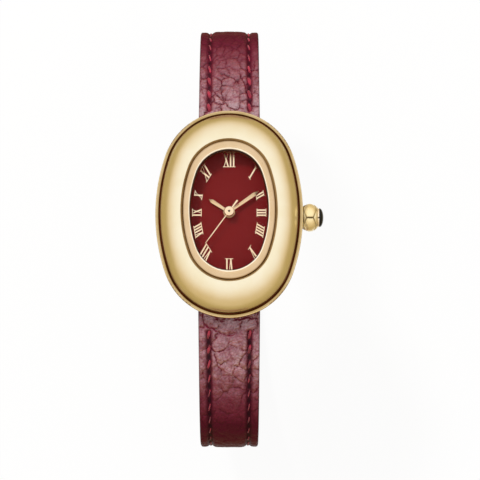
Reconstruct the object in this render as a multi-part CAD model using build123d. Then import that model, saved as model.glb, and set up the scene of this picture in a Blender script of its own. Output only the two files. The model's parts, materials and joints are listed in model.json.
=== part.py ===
from build123d import *
import math
import os

os.makedirs("parts", exist_ok=True)

# A small oval quartz watch on a padded leather strap, closed on its buckle.
# Lengths are millimetres and angles degrees. +Z points out of the dial, +Y to 12 o'clock
# and +X to the crown. The origin is the middle of the case back's outer face, below the
# axis of the hands. An oval is three sizes: half-width, half-height and end radius.

# Fits that many pieces share
turn_gap = 0.05
seat_gap = 0.02
overrun = 1.0

# Case: rim, groove, dome, inner ring and dial opening, from the outside in
rim = (11.9, 17.0, 10.9)
lip_width = 0.5
groove_width = 0.25
dome_edge = (7.8, 11.65, 7.0)
dark_band_width = 0.4
opening = (6.35, 9.85, 5.6)

# Case: heights, from the back up
back_plate_thick = 0.55
back_step_high = 0.4
body_high = 3.35
flange_thick = 0.4
lip_high = 0.35
dome_high = 4.0
dome_sweep_angle = 78.0
band_depth = 0.6
crystal_thick = 1.05
ledge_thick = 0.3
ledge_width = 0.1
crystal_gasket_thick = 0.08
edge_round = 0.15
crystal_bevel = 0.08

# Case: walls and seats
cavity = (8.4, 12.0, 7.7)
body_top = (10.3, 14.4, 9.6)
body_foot = (9.5, 13.4, 8.9)
back_outline = (9.25, 12.6, 8.55)
back_edge_bevel = 0.3
back_gasket_thick = 0.35
back_gasket_high = 0.3
rehaut_seat_width = 0.4
channel_wall = 0.85
channel_high = 1.3
flange_under_bevel = 0.2

# Lugs under the flange and the bars between them
strap_wide = 10.0
strap_side_gap = 0.25
lug_width = 1.3
lug_edge_gap = 0.5
bar_y = 14.0
bar_z = 1.9
lug_radius = 1.15
strap_slot_wall_y = 12.75
lug_root_y = 11.5
pin_hole_depth = 0.75

# Crown and stem
stem_y = -0.3
stem_rise = 2.0
stem_radius = 0.4
crown_offset = 1.12
crown_radius = 2.22
crown_pads = 4
crown_turn_angle = 10.0
crown_seam_half_long, crown_seam_half_wide, crown_seam_deep = 0.55, 0.07, 0.14
crown_inner_half = 1.5
crown_inner_radius = 1.3
crown_outer_half = 1.25
crown_outer_radius = 1.5
crown_bore_deep = 1.85
crown_travel = 1.0
crown_recess_radius = 1.75
crown_recess_start = 11.3
tube_wall = 0.25
tube_bore_gap = 0.1
tube_reach = 1.45
crown_gasket_wide = 0.35
crown_gasket_place = 0.1
collar_long = 0.28
collar_radius = 1.52
collar_notch_half, collar_notch_deep = 0.08, 0.12
cabochon_radius = 1.45
cabochon_high = 0.7
cabochon_girdle = 0.08
stem_thread_long = 0.7
stem_front_x = 4.3
pilot_radius = 0.22
pilot_long = 1.3
stem_groove_x = 5.75
stem_groove_wide = 0.7

# Movement: outline and heights
outline = (7.65, 8.9, 6.9)
holder_gap = 0.05
holder_ledge_wide = 0.3
holder_ledge_high = 0.33
plate_thick = 1.05
train_room = 1.65
bridge_thick = 0.35
rim_wall = 0.5
motion_room = 0.6
dial_thick = 0.4
dial_edge_gap = 0.1
board_thick = 0.2
pocket_floor = 0.32

# Movement: wheels. Radii are at the tips of the teeth.
wheel_thick = 0.2
layer_step = 0.36
layer_start = 0.1
mesh_gap = 0.05
tooth_depth_share, tooth_foot_share, tooth_tip_share = 1.8, 0.28, 0.14
arbor_radius = 0.1
rotor_pinion_radius, rotor_pinion_teeth = 0.25, 6
fifth_wheel_radius, fifth_wheel_teeth = 1.3, 30
fifth_pinion_radius, fifth_pinion_teeth = 0.3, 6
fourth_wheel_radius, fourth_wheel_teeth = 1.5, 36
fourth_pinion_radius, fourth_pinion_teeth = 0.3, 6
third_wheel_radius, third_wheel_teeth = 1.5, 45
third_pinion_radius, third_pinion_teeth = 0.3, 6
centre_wheel_teeth = 48
cannon_radius, cannon_teeth = 0.6, 8
minute_wheel_radius, minute_wheel_teeth = 1.5, 24
minute_pinion_radius, minute_pinion_teeth = 0.5, 8
hour_wheel_teeth = 32
setting_wheel_radius, setting_wheel_teeth = 1.05, 15
setting_pinion_radius, setting_pinion_teeth = 0.95, 12
setting_pinion_long = 0.45
third_angle, fifth_angle, rotor_angle, minute_angle = 165.0, 245.0, 216.0, 0.0
rotor_magnet_radius, rotor_magnet_high = 0.6, 0.6
rotor_hole_gap = 0.15

# Movement: arbors and tubes at the middle
seconds_arbor_radius = 0.13
minute_tube_radius = 0.3
cannon_tube_radius = 0.44
hour_tube_wall = 0.16
hour_tube_gap = 0.06
dial_hole_gap = 0.15

# Movement: bridge, pillars and screws
pillar_places = ((-1.2, 2.5), (-3.3, -1.2), (1.7, -2.1))
pillar_radius = 0.4
bridge_margin = 0.5
screw_radius, screw_head_radius, screw_head_high = 0.18, 0.36, 0.25
screw_slot_half, screw_slot_deep = 0.06, 0.12

# Movement: battery, coil, stator, board
battery_place = (2.2, 4.6)
battery_radius, battery_high, battery_step_radius, battery_step_high = 3.4, 2.1, 3.0, 0.3
clamp_thick, clamp_wide, clamp_gap = 0.12, 1.6, 0.1
coil_y, coil_radius, coil_half = -5.8, 0.85, 3.3
coil_flange_radius, coil_flange_thick, coil_end_gap = 0.95, 0.2, 0.1
core_end_long, core_wide, core_thick = 0.25, 0.8, 0.35
stator_thick, stator_ring, stator_arm_half, stator_bend_y = 0.3, 1.2, 0.45, -3.9
stator_rise = 0.85
board_right_x, board_low_y, board_high_y = -3.95, -4.0, 6.4
can_place, can_radius, can_long = (-5.0, 0.0), 0.7, 4.6
chip_place, chip_side, chip_high = (-5.4, -1.8), 1.7, 0.5

# Movement: keyless work
setting_lever_pivot = (6.25, -2.3)
setting_lever_half = 0.28
lever_thick = 0.15
rim_drop = 0.15
lever_pin_radius, lever_pin_high = 0.14, 0.28
lever_post_radius = 0.2
stop_lever_pivot = (2.9, 0.6)
stop_lever_tip = (1.9, -1.1)
stop_lever_tail = (4.0, 1.05)
stop_lever_half = 0.18

# Dial, numerals and hands
dial_foot_places = ((-4.6, 4.4), (4.6, -4.6))
dial_foot_radius, dial_foot_long = 0.3, 0.8
numeral_inset = 1.15
numeral_highs = (2.46, 2.18, 1.45, 1.54)
numeral_thick = 0.06
stroke_thick, stroke_thin, stroke_pitch = 0.23, 0.1, 0.42
wide_x, wide_v = 0.8, 0.62
hour_angle, minute_hand_angle, seconds_angle = 303.3, 54.65, 216.1
hand_lift = 0.4
hand_hub_high = 0.3
hand_gap = 0.1
blade_thick = 0.12
hour_long, hour_base, hour_wide, hour_hub = 3.96, 0.42, 0.62, 0.95
minute_long, minute_base, minute_wide, minute_hub = 5.9, 0.42, 0.62, 0.85
seconds_long, seconds_wide, seconds_tail, tail_wide, seconds_hub = 6.2, 0.14, 2.25, 0.3, 0.8
seconds_cap_high = 0.45
pinhole_radius, pinhole_deep = 0.12, 0.25
blade_widest_share = 0.84

# Strap: thickness, taper and path. A half is a row of bends. Each has a radius, and the angles
# are those between them: 0 runs away from the case, 90 straight down and 180 back below it.
# Where the angle stays the same, the size is a straight run's length.
strap_thick_case, strap_thick_end, strap_narrowing = 2.4, 1.6, 1.0
lining_thick = 0.5
strap_edge_round = 0.25
strap_taper_long = 50.0
seam_inset, seam_wide, seam_high = 1.65, 0.3, 0.12
short_bend_sizes = (31.9, 10.0, 4.5, 18.0, 46.0)
short_bend_angles = (4.0, 30.0, 90.0, 90.0, 150.0, 180.0)
long_bend_sizes = (36.5, 10.5)
long_bend_angles = (4.0, 30.0, 90.0)
lay_angle = 150.0
bend_step = 9.0
bar_loop_radius = 1.0
layer_gap = 0.15
tail_arc_angle = 30.0
tail_long = 5.0
slot_start, slot_long, slot_wide, slot_top_drop = 0.6, 4.95, 1.3, 0.5
hole_spacing, hole_radius, holes_each_way = 7.0, 0.75, 2
tail_tip_share = 0.5
pad_shares = ((0.78, 0.55), (0.45, 0.88))
pad_rise_share = 0.3

# Spring bars
tube_radius, tube_bore, tube_cap = 0.6, 0.42, 0.2
tube_end_gap = 0.15
pin_head_long, pin_radius, pin_tip_long = 1.2, 0.28, 0.65
spring_radius, spring_hole_radius = 0.38, 0.2

# Buckle and keepers
frame_side_gap, frame_side_wide = 0.45, 1.1
frame_eye_radius, eye_hole_deep = 0.95, 0.9
crossbar_along, crossbar_wide, crossbar_gap, crossbar_thick = 7.2, 1.5, 0.1, 1.05
tongue_wide, tongue_thick, tongue_eye_radius, tongue_tip_over = 1.0, 0.55, 0.9, 0.6
tongue_side_gap, tongue_bend_before = 0.15, 0.45
keeper_wide, keeper_thick, keeper_gap, floating_gap = 3.6, 0.62, 0.15, 0.3
keeper_along, floating_along = 6.0, 14.5
keeper_travel = 1.5

# Heights worked out from the stack above
flange_under = back_plate_thick + body_high
flange_top = flange_under + flange_thick
lip_top = flange_top + lip_high
dome_top = flange_top + dome_high
crystal_bottom = dome_top - crystal_thick
ring_bottom = crystal_bottom - ledge_thick
stem_z = back_plate_thick + stem_rise
plate_top = flange_top + turn_gap
plate_bottom = plate_top - plate_thick
bridge_top = plate_bottom - train_room
bridge_bottom = bridge_top - bridge_thick
pocket_z = plate_bottom + pocket_floor
dial_bottom = plate_top + motion_room
dial_top = dial_bottom + dial_thick
motion_z = pocket_z + turn_gap
hour_wheel_z = plate_top + 2 * turn_gap
lever_z = stem_z - stem_radius - turn_gap - lever_thick
board_top = bridge_top - rim_drop
stator_z = bridge_top + stator_rise
battery_clear = math.hypot(battery_radius + clamp_gap + clamp_thick, clamp_wide / 2) + turn_gap
stator_end_x = coil_half + coil_flange_thick + coil_end_gap + stator_arm_half
core_half = stator_end_x + core_end_long
hour_tube_radius = cannon_tube_radius + hour_tube_gap + hour_tube_wall
hour_hand_z = dial_top + hand_lift
minute_hand_z = hour_hand_z + hand_hub_high + hand_gap
seconds_hand_z = minute_hand_z + hand_hub_high + hand_gap


def grow(shape, amount):
    """The oval that lies a steady distance outside another one, or inside it if negative."""
    return tuple(size + amount for size in shape)


dome_foot = grow(rim, -(lip_width + groove_width))
ring_outline = grow(dome_edge, -dark_band_width)
ring_piece = grow(ring_outline, -seat_gap)
rehaut = grow(ring_outline, -rehaut_seat_width)
crystal_seat = grow(opening, -crystal_gasket_thick - seat_gap)
ledge = grow(crystal_seat, -ledge_width)


def oval_face(shape, height=0.0):
    """A flat oval of four arcs: two ends of the end radius joined by two longer side arcs."""
    half_wide, half_high, end_radius = shape
    end_y = half_high - end_radius
    inset = half_wide - end_radius
    side_shift = (end_y ** 2 - inset ** 2) / (2 * inset)
    side_radius = half_wide + side_shift
    share = side_radius / (side_radius - end_radius)
    join_x = side_shift * (share - 1)
    join_y = end_y * share
    corners = [(join_x, -join_y), (join_x, join_y), (-join_x, join_y), (-join_x, -join_y)]
    middles = [(half_wide, 0), (0, half_high), (-half_wide, 0), (0, -half_high)]
    arcs = []
    for turn in range(4):
        start = corners[turn]
        end = corners[(turn + 1) % 4]
        arcs.append(ThreePointArc(start, middles[turn], end))
    return Pos(0, 0, height) * make_face(arcs)


def oval_block(shape, bottom, top):
    """An upright wall-to-wall solid on an oval."""
    return extrude(oval_face(shape, bottom), top - bottom)


def oval_ring(outer, inner, bottom, top):
    """An upright oval ring."""
    return oval_block(outer, bottom, top) - oval_block(inner, bottom - overrun, top + overrun)


def round_block(place, radius, bottom, top):
    """An upright cylinder between two heights."""
    return Pos(place[0], place[1], (bottom + top) / 2) * Cylinder(radius, top - bottom)


def box_between(low, high):
    """A block from its lowest to its highest corner."""
    size = [high[i] - low[i] for i in range(3)]
    middle = [(high[i] + low[i]) / 2 for i in range(3)]
    return Pos(*middle) * Box(*size)


def rod_x(start, end, y, z, radius):
    """A cylinder along X."""
    return Pos((start + end) / 2, y, z) * Rot(0, 90, 0) * Cylinder(radius, end - start)


def polar(place, distance, angle):
    """The point at a distance and angle from another one, anticlockwise from +X."""
    turn = math.radians(angle)
    return (place[0] + distance * math.cos(turn), place[1] + distance * math.sin(turn))


def bar_face(start, end, half_wide):
    """A flat bar with round ends from one point to another."""
    run = math.hypot(end[0] - start[0], end[1] - start[1])
    angle = math.degrees(math.atan2(end[1] - start[1], end[0] - start[0]))
    middle = Pos((start[0] + end[0]) / 2, (start[1] + end[1]) / 2, 0)
    face = middle * Rot(0, 0, angle) * Rectangle(run, 2 * half_wide)
    return face + Pos(*start) * Circle(half_wide) + Pos(*end) * Circle(half_wide)


def toothed_face(teeth, radius):
    """A wheel's outline: its teeth are trapezia, a little narrower at the tip."""
    foot = radius - tooth_depth_share * radius / (teeth + 2)
    pitch = 360 / teeth
    points = []
    for tooth in range(teeth):
        for share, reach in ((-tooth_foot_share, foot), (-tooth_tip_share, radius)):
            points.append(polar((0, 0), reach, (tooth + share) * pitch))
        for share, reach in ((tooth_tip_share, radius), (tooth_foot_share, foot)):
            points.append(polar((0, 0), reach, (tooth + share) * pitch))
    return make_face(Polyline(*points, close=True))


def toothed_block(place, teeth, radius, bottom, high, bore=0.0):
    """A toothed wheel or pinion lying flat, with a bore where one is given."""
    block = extrude(toothed_face(teeth, radius), high)
    if bore:
        block -= Cylinder(bore, 2 * (high + overrun))
    return Pos(place[0], place[1], bottom) * block


def layer(number):
    """The lower face of a wheel in the going train, counted from the bridge."""
    return bridge_top + layer_start + number * layer_step


# Axes of the wheels, from the radii that mesh
centre_place = (0.0, 0.0)
third_place = polar(centre_place, fourth_pinion_radius + third_wheel_radius + mesh_gap, third_angle)
centre_wheel_radius = fourth_pinion_radius + third_wheel_radius - third_pinion_radius
fifth_place = polar(centre_place, fifth_pinion_radius + fourth_wheel_radius + mesh_gap, fifth_angle)
rotor_place = polar(fifth_place, rotor_pinion_radius + fifth_wheel_radius + mesh_gap, rotor_angle)
minute_place = polar(centre_place, cannon_radius + minute_wheel_radius + mesh_gap, minute_angle)
hour_wheel_radius = cannon_radius + minute_wheel_radius - minute_pinion_radius
setting_place = polar(minute_place, minute_wheel_radius + setting_wheel_radius + mesh_gap, minute_angle)

# Places along the stem and crown
crown_x = rim[0] + crown_offset
crown_inner_x = crown_x - crown_inner_half
crown_outer_x = crown_x + crown_outer_half
tube_end_x = crown_inner_x + tube_reach
tube_bore_radius = stem_radius + tube_bore_gap
tube_outer_radius = tube_bore_radius + tube_wall
crown_bore_radius = tube_outer_radius + 4 * turn_gap
lug_inner_x = strap_wide / 2 + strap_side_gap
lug_outer_x = lug_inner_x + lug_width
strap_wide_end = strap_wide - strap_narrowing


def case_middle():
    """The case's body: a flange with a raised lip, walls down to the back, and four hidden lugs."""
    flange = oval_block(rim, flange_under, lip_top)
    flange = chamfer(flange.edges().group_by(Axis.Z)[0], flange_under_bevel)
    flange -= oval_block(grow(rim, -lip_width), flange_top, lip_top + overrun)
    flange = fillet(flange.edges().group_by(Axis.Z)[-1], edge_round)
    body = loft([oval_face(body_foot, back_plate_thick), oval_face(body_top, flange_under)])
    for side in (1, -1):
        near, far = sorted((side * strap_slot_wall_y, side * rim[1]))
        body -= box_between((-lug_outer_x, near, 0), (lug_outer_x, far, flange_under))
        for end in (1, -1):
            body += lug(side, end)
    body += flange
    body -= oval_block(cavity, 0, lip_top)
    body -= oval_block(grow(cavity, back_gasket_thick), 0, back_plate_thick + back_step_high)
    body -= rod_x(0, rim[0], stem_y, stem_z, tube_outer_radius)
    body -= rod_x(crown_recess_start, rim[0] + overrun, stem_y, stem_z, crown_recess_radius)
    return body


def lug(side, end):
    """One lug: it hangs from the flange and holds the tip of a spring bar in a blind hole."""
    inner, outer = lug_inner_x, lug_outer_x
    block = box_between((inner, lug_root_y, bar_z - lug_radius), (outer, bar_y, flange_under))
    block += box_between((inner, bar_y - lug_radius, bar_z), (outer, bar_y + lug_radius, flange_under))
    block += rod_x(inner, outer, bar_y, bar_z, lug_radius)
    block -= rod_x(inner - overrun, inner + pin_hole_depth, bar_y, bar_z, pin_radius + turn_gap)
    block -= oval_block(cavity, 0, flange_under)
    block &= oval_block(grow(rim, -lug_edge_gap), 0, flange_under)
    if end < 0:
        block = mirror(block, Plane.YZ)
    if side < 0:
        block = mirror(block, Plane.XZ)
    return block


def dome_section(angle):
    """The dome's outline at an angle round its quarter-ellipse side, 0 at the foot."""
    last = math.cos(math.radians(dome_sweep_angle))
    wide_share = (math.cos(math.radians(angle)) - last) / (1 - last)
    rise_share = math.sin(math.radians(angle)) / math.sin(math.radians(dome_sweep_angle))
    shape = [edge + (foot - edge) * wide_share for edge, foot in zip(dome_edge, dome_foot)]
    return oval_face(shape, flange_top + dome_high * rise_share)


def bezel_dome():
    """The domed bezel: it stands on the flange inside the lip and carries dial, ring and crystal."""
    steps = 6
    dome = loft([dome_section(dome_sweep_angle * step / steps) for step in range(steps + 1)])
    dome -= oval_block(cavity, flange_top - overrun, dial_top)
    dome -= oval_block(rehaut, flange_top, dome_top + overrun)
    dome -= oval_block(ring_outline, ring_bottom, dome_top + overrun)
    dome -= loft([oval_face(ring_outline, dome_top - band_depth), oval_face(dome_edge, dome_top)])
    channel = oval_ring(grow(dome_foot, -channel_wall), grow(cavity, channel_wall), flange_top,
                        flange_top + channel_high)
    return dome - channel


def inner_ring():
    """The ring round the crystal, with a thin ledge below that the crystal rests on."""
    ring = oval_ring(ring_piece, opening, ring_bottom, dome_top)
    ring = fillet(ring.edges().group_by(Axis.Z)[-1], edge_round)
    return ring + oval_ring(opening, ledge, ring_bottom, crystal_bottom)


def crystal():
    """A flat mineral glass with a polished bevel."""
    glass = oval_block(crystal_seat, crystal_bottom, dome_top)
    return chamfer(glass.edges().group_by(Axis.Z)[-1], crystal_bevel)


def crystal_gasket():
    """The thin gasket pressed in between crystal and ring."""
    return oval_ring(grow(opening, -seat_gap / 2), grow(crystal_seat, seat_gap / 2), crystal_bottom,
                     dome_top - crystal_bevel)


def case_back():
    """The snap-on back: a plate with a step that enters the case."""
    plate = oval_block(back_outline, 0, back_plate_thick)
    plate = chamfer(plate.edges().group_by(Axis.Z)[0], back_edge_bevel)
    step = oval_block(grow(cavity, -turn_gap), back_plate_thick, back_plate_thick + back_step_high)
    return plate + step


def case_back_gasket():
    """The sealing ring in the corner between back and case."""
    return oval_ring(grow(cavity, back_gasket_thick - seat_gap), grow(cavity, seat_gap - turn_gap),
                     back_plate_thick, back_plate_thick + back_gasket_high)


def crown_tube():
    """The tube pressed into the case wall that the stem passes through."""
    start = cavity[0] - turn_gap
    tube = rod_x(start, tube_end_x, stem_y, stem_z, tube_outer_radius)
    tube -= rod_x(start - overrun, tube_end_x + overrun, stem_y, stem_z, tube_bore_radius)
    return tube - oval_block(cavity, 0, lip_top)


def round_the_crown(solid):
    """Four turned copies of a solid round the crown's axis. One faces the viewer."""
    step = 360 / crown_pads
    return [Rot(step * number + crown_turn_angle, 0, 0) * solid for number in range(crown_pads)]


def crown():
    """The ball-shaped crown: four pads with seams between them, bored for the tube."""
    profile = Polyline((crown_outer_half, crown_outer_radius), (crown_outer_half, 0), (-crown_inner_half, 0),
                       (-crown_inner_half, crown_inner_radius))
    back = ThreePointArc((-crown_inner_half, crown_inner_radius), (0, crown_radius),
                         (crown_outer_half, crown_outer_radius))
    body = revolve(make_face([*profile.edges(), back]), Axis.X)
    seam = box_between((-crown_seam_half_long, -crown_seam_half_wide, crown_radius - crown_seam_deep),
                       (crown_seam_half_long, crown_seam_half_wide, crown_radius + overrun))
    for cut in round_the_crown(seam):
        body -= cut
    bore_end = crown_bore_deep - crown_inner_half
    body -= rod_x(-crown_inner_half - overrun, bore_end, 0, 0, crown_bore_radius)
    body -= rod_x(bore_end - overrun, bore_end + stem_thread_long, 0, 0, stem_radius)
    return Pos(crown_x, stem_y, stem_z) * body


def crown_gasket():
    """The sealing ring in the crown's bore, which slides on the tube."""
    start = crown_inner_x + crown_gasket_place
    end = start + crown_gasket_wide
    ring = rod_x(start, end, stem_y, stem_z, crown_bore_radius - turn_gap)
    return ring - rod_x(start - overrun, end + overrun, stem_y, stem_z, tube_outer_radius + turn_gap)


def crown_collar():
    """The collar that holds the cabochon, notched in line with the crown's seams."""
    collar = rod_x(0, collar_long, 0, 0, collar_radius)
    notch = box_between((-overrun, -collar_notch_half, collar_radius - collar_notch_deep),
                        (overrun, collar_notch_half, collar_radius + overrun))
    for cut in round_the_crown(notch):
        collar -= cut
    return Pos(crown_outer_x, stem_y, stem_z) * collar


def crown_cabochon():
    """The polished stone in the crown's end: a short girdle under a shallow dome."""
    start = crown_outer_x + collar_long
    dome_rise = cabochon_high - cabochon_girdle
    side = Polyline((0, cabochon_radius), (0, 0), (cabochon_high, 0))
    ball_radius = (cabochon_radius ** 2 + dome_rise ** 2) / (2 * dome_rise)
    half_turn = math.asin(cabochon_radius / ball_radius) / 2
    middle = (cabochon_high - ball_radius * (1 - math.cos(half_turn)), ball_radius * math.sin(half_turn))
    arc = ThreePointArc((cabochon_high, 0), middle, (cabochon_girdle, cabochon_radius))
    girdle = Line((cabochon_girdle, cabochon_radius), (0, cabochon_radius))
    return Pos(start, stem_y, stem_z) * revolve(make_face([*side.edges(), arc, girdle]), Axis.X)


def winding_stem():
    """The stem from the crown to its pilot, with the groove that moves the setting lever."""
    end = crown_inner_x + crown_bore_deep + stem_thread_long
    stem = rod_x(stem_front_x, end, stem_y, stem_z, stem_radius)
    stem += rod_x(stem_front_x - pilot_long, stem_front_x, stem_y, stem_z, pilot_radius)
    half = stem_groove_wide / 2
    groove = rod_x(stem_groove_x - half, stem_groove_x + half, stem_y, stem_z, stem_radius + overrun)
    core = rod_x(stem_groove_x - 2 * half, stem_groove_x + 2 * half, stem_y, stem_z, pilot_radius)
    return stem - (groove - core)


def setting_pinion():
    """The pinion fixed on the stem: pulled out, it lies under the setting wheel's rim."""
    pinion = extrude(toothed_face(setting_pinion_teeth, setting_pinion_radius), setting_pinion_long)
    pinion -= Cylinder(stem_radius, 2 * overrun)
    return Pos(stem_front_x, stem_y, stem_z) * Rot(0, 90, 0) * pinion


def movement_holder():
    """The plastic ring between movement and case. A low ledge carries the movement."""
    bottom = back_plate_thick + back_step_high
    inside = grow(outline, holder_gap)
    holder = oval_ring(grow(cavity, -holder_gap), inside, bottom, dial_bottom)
    shelf = oval_ring(inside, grow(outline, -holder_ledge_wide), bottom, bottom + holder_ledge_high)
    holder += shelf - round_block(battery_place, battery_clear, 0, plate_bottom)
    return holder - rod_x(0, cavity[0] + overrun, stem_y, stem_z, tube_bore_radius + turn_gap)


def main_plate():
    """The plate that everything in the movement is mounted on, with its rim, posts and pillars."""
    plate = oval_block(outline, plate_bottom, plate_top)
    wall = oval_ring(outline, grow(outline, -rim_wall), board_top, plate_bottom)
    plate += wall - round_block(battery_place, battery_clear, 0, plate_bottom)
    for place in pillar_places:
        plate += round_block(place, pillar_radius, bridge_top, plate_bottom)
        plate -= round_block(place, screw_radius, 0, plate_bottom)
    pockets = ((centre_place, cannon_radius), (minute_place, minute_wheel_radius),
               (setting_place, setting_wheel_radius))
    for place, radius in pockets:
        plate -= round_block(place, radius + 2 * mesh_gap, pocket_z, plate_top + overrun)
    plate -= round_block(centre_place, minute_tube_radius + turn_gap, plate_bottom - overrun, plate_top)
    plate += round_block(minute_place, arbor_radius, plate_bottom, hour_wheel_z + wheel_thick)
    plate += round_block(setting_place, arbor_radius, plate_bottom, plate_top)
    window_start = stem_front_x + crown_travel - turn_gap
    window_end = window_start + setting_pinion_long + 2 * turn_gap
    reach = setting_pinion_radius + turn_gap
    plate -= box_between((stem_front_x - turn_gap, stem_y - reach, plate_bottom - overrun),
                         (window_end, stem_y + reach, stem_z + setting_pinion_radius + seat_gap))
    plate -= box_between((window_start, stem_y - reach, plate_bottom - overrun),
                         (window_end, stem_y + reach, pocket_z + overrun))
    front_end = stem_front_x - turn_gap
    front_start = front_end - pilot_long / 2
    plate += box_between((front_start, stem_y - stem_radius, stem_z - stem_radius),
                         (front_end - arbor_radius, stem_y + stem_radius, plate_bottom))
    plate -= rod_x(front_start - overrun, front_end, stem_y, stem_z, pilot_radius + turn_gap)
    plate -= rod_x(setting_place[0], outline[0] + overrun, stem_y, stem_z, stem_radius + turn_gap)
    for place in (setting_lever_pivot, stop_lever_pivot):
        plate += round_block(place, lever_post_radius, lever_z, plate_bottom)
    for place in dial_foot_places:
        foot_bottom = dial_bottom - dial_foot_long - turn_gap
        plate -= round_block(place, dial_foot_radius + turn_gap, foot_bottom, plate_top)
    return plate


def train_bridge():
    """The bridge that holds the lower pivots of the wheels."""
    places = [*pillar_places, rotor_place]
    edges = [edge for place in places for edge in (Pos(*place) * Circle(bridge_margin)).edges()]
    bridge = extrude(Pos(0, 0, bridge_bottom) * make_hull(edges), bridge_thick)
    for place in pillar_places:
        bridge -= round_block(place, screw_radius + turn_gap, bridge_bottom - overrun, bridge_top + overrun)
    for place in (centre_place, third_place, fifth_place, rotor_place):
        bridge -= round_block(place, arbor_radius + turn_gap, bridge_bottom - overrun, bridge_top + overrun)
    return bridge


def movement_screws():
    """Three slotted screws through the bridge into the pillars."""
    screws = Part()
    for place in pillar_places:
        head = round_block(place, screw_head_radius, bridge_bottom - screw_head_high, bridge_bottom)
        low = bridge_bottom - screw_head_high
        slot = box_between((place[0] - screw_head_radius, place[1] - screw_slot_half, low),
                           (place[0] + screw_head_radius, place[1] + screw_slot_half, low + screw_slot_deep))
        shank = round_block(place, screw_radius - seat_gap, bridge_bottom, plate_bottom - turn_gap)
        screws += head - slot + shank
    return screws


def arbor(place, bottom, top, radius=arbor_radius):
    """A wheel's thin upright axle."""
    return round_block(place, radius, bottom, top)


def rotor():
    """The rotor: a round magnet with the train's first pinion below it."""
    low = layer(0)
    wheel = toothed_block(rotor_place, rotor_pinion_teeth, rotor_pinion_radius, low, 2 * wheel_thick)
    magnet_bottom = low + 2 * layer_step - turn_gap
    wheel += round_block(rotor_place, rotor_magnet_radius, magnet_bottom, magnet_bottom + rotor_magnet_high)
    return wheel + arbor(rotor_place, bridge_bottom, plate_bottom - turn_gap)


def fifth_wheel():
    """The wheel between rotor and seconds wheel, with its pinion."""
    pinion_high = layer_step + wheel_thick
    wheel = toothed_block(fifth_place, fifth_wheel_teeth, fifth_wheel_radius, layer(0), wheel_thick)
    wheel += toothed_block(fifth_place, fifth_pinion_teeth, fifth_pinion_radius, layer(0), pinion_high)
    return wheel + arbor(fifth_place, bridge_bottom, plate_bottom - turn_gap)


def third_wheel():
    """The wheel between seconds wheel and centre wheel, with its pinion."""
    pinion_high = layer_step + wheel_thick
    wheel = toothed_block(third_place, third_wheel_teeth, third_wheel_radius, layer(2), wheel_thick)
    wheel += toothed_block(third_place, third_pinion_teeth, third_pinion_radius, layer(2), pinion_high)
    return wheel + arbor(third_place, bridge_bottom, plate_bottom - turn_gap)


def fourth_wheel():
    """The seconds wheel: its long arbor runs up through the tubes to the seconds hand."""
    pinion_high = layer_step + wheel_thick
    wheel = toothed_block(centre_place, fourth_wheel_teeth, fourth_wheel_radius, layer(1), wheel_thick)
    wheel += toothed_block(centre_place, fourth_pinion_teeth, fourth_pinion_radius, layer(1), pinion_high)
    wheel += arbor(centre_place, bridge_bottom, layer(1))
    arbor_top = seconds_hand_z + seconds_cap_high - pinhole_deep
    return wheel + arbor(centre_place, layer(1), arbor_top, seconds_arbor_radius)


def centre_wheel():
    """The minute wheel of the going train, on a tube round the seconds arbor."""
    top = motion_z + wheel_thick
    wheel = toothed_block(centre_place, centre_wheel_teeth, centre_wheel_radius, layer(3), wheel_thick)
    wheel += round_block(centre_place, minute_tube_radius, layer(3), top)
    return wheel - round_block(centre_place, seconds_arbor_radius + turn_gap, 0, top + overrun)


def cannon_pinion():
    """The pinion and tube that the minute hand sits on, tight on the centre wheel's tube."""
    seat_top = motion_z + wheel_thick
    pinion = toothed_block(centre_place, cannon_teeth, cannon_radius, motion_z, wheel_thick)
    pinion += round_block(centre_place, cannon_tube_radius, motion_z, minute_hand_z + hand_hub_high)
    pinion -= round_block(centre_place, minute_tube_radius, 0, seat_top)
    return pinion - round_block(centre_place, seconds_arbor_radius + turn_gap, 0, dome_top)


def minute_wheel():
    """The wheel that takes the drive from the cannon pinion to the hour wheel."""
    wheel = toothed_block(minute_place, minute_wheel_teeth, minute_wheel_radius, motion_z, wheel_thick)
    pinion_high = hour_wheel_z + wheel_thick - motion_z
    wheel += toothed_block(minute_place, minute_pinion_teeth, minute_pinion_radius, motion_z, pinion_high)
    return wheel - round_block(minute_place, arbor_radius + turn_gap, 0, dome_top)


def hour_wheel():
    """The hour wheel, with the tube that carries the hour hand up through the dial."""
    wheel = toothed_block(centre_place, hour_wheel_teeth, hour_wheel_radius, hour_wheel_z, wheel_thick)
    wheel += round_block(centre_place, hour_tube_radius, hour_wheel_z, hour_hand_z + hand_hub_high)
    return wheel - round_block(centre_place, cannon_tube_radius + hour_tube_gap, 0, dome_top)


def setting_wheel():
    """The idler between the pulled-out setting pinion and the minute wheel."""
    return toothed_block(setting_place, setting_wheel_teeth, setting_wheel_radius, motion_z, wheel_thick,
                         arbor_radius + turn_gap)


def stator():
    """The stator: one plate from the coil's ends round the rotor."""
    plate = Sketch() + Pos(*rotor_place) * Circle(stator_ring)
    for side in (1, -1):
        bend = (side * stator_end_x, stator_bend_y)
        plate += bar_face(rotor_place, bend, stator_arm_half)
        plate += bar_face(bend, (side * stator_end_x, coil_y), stator_arm_half)
    plate -= Pos(*rotor_place) * Circle(rotor_magnet_radius + rotor_hole_gap)
    return extrude(Pos(0, 0, stator_z) * plate, stator_thick)


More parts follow.
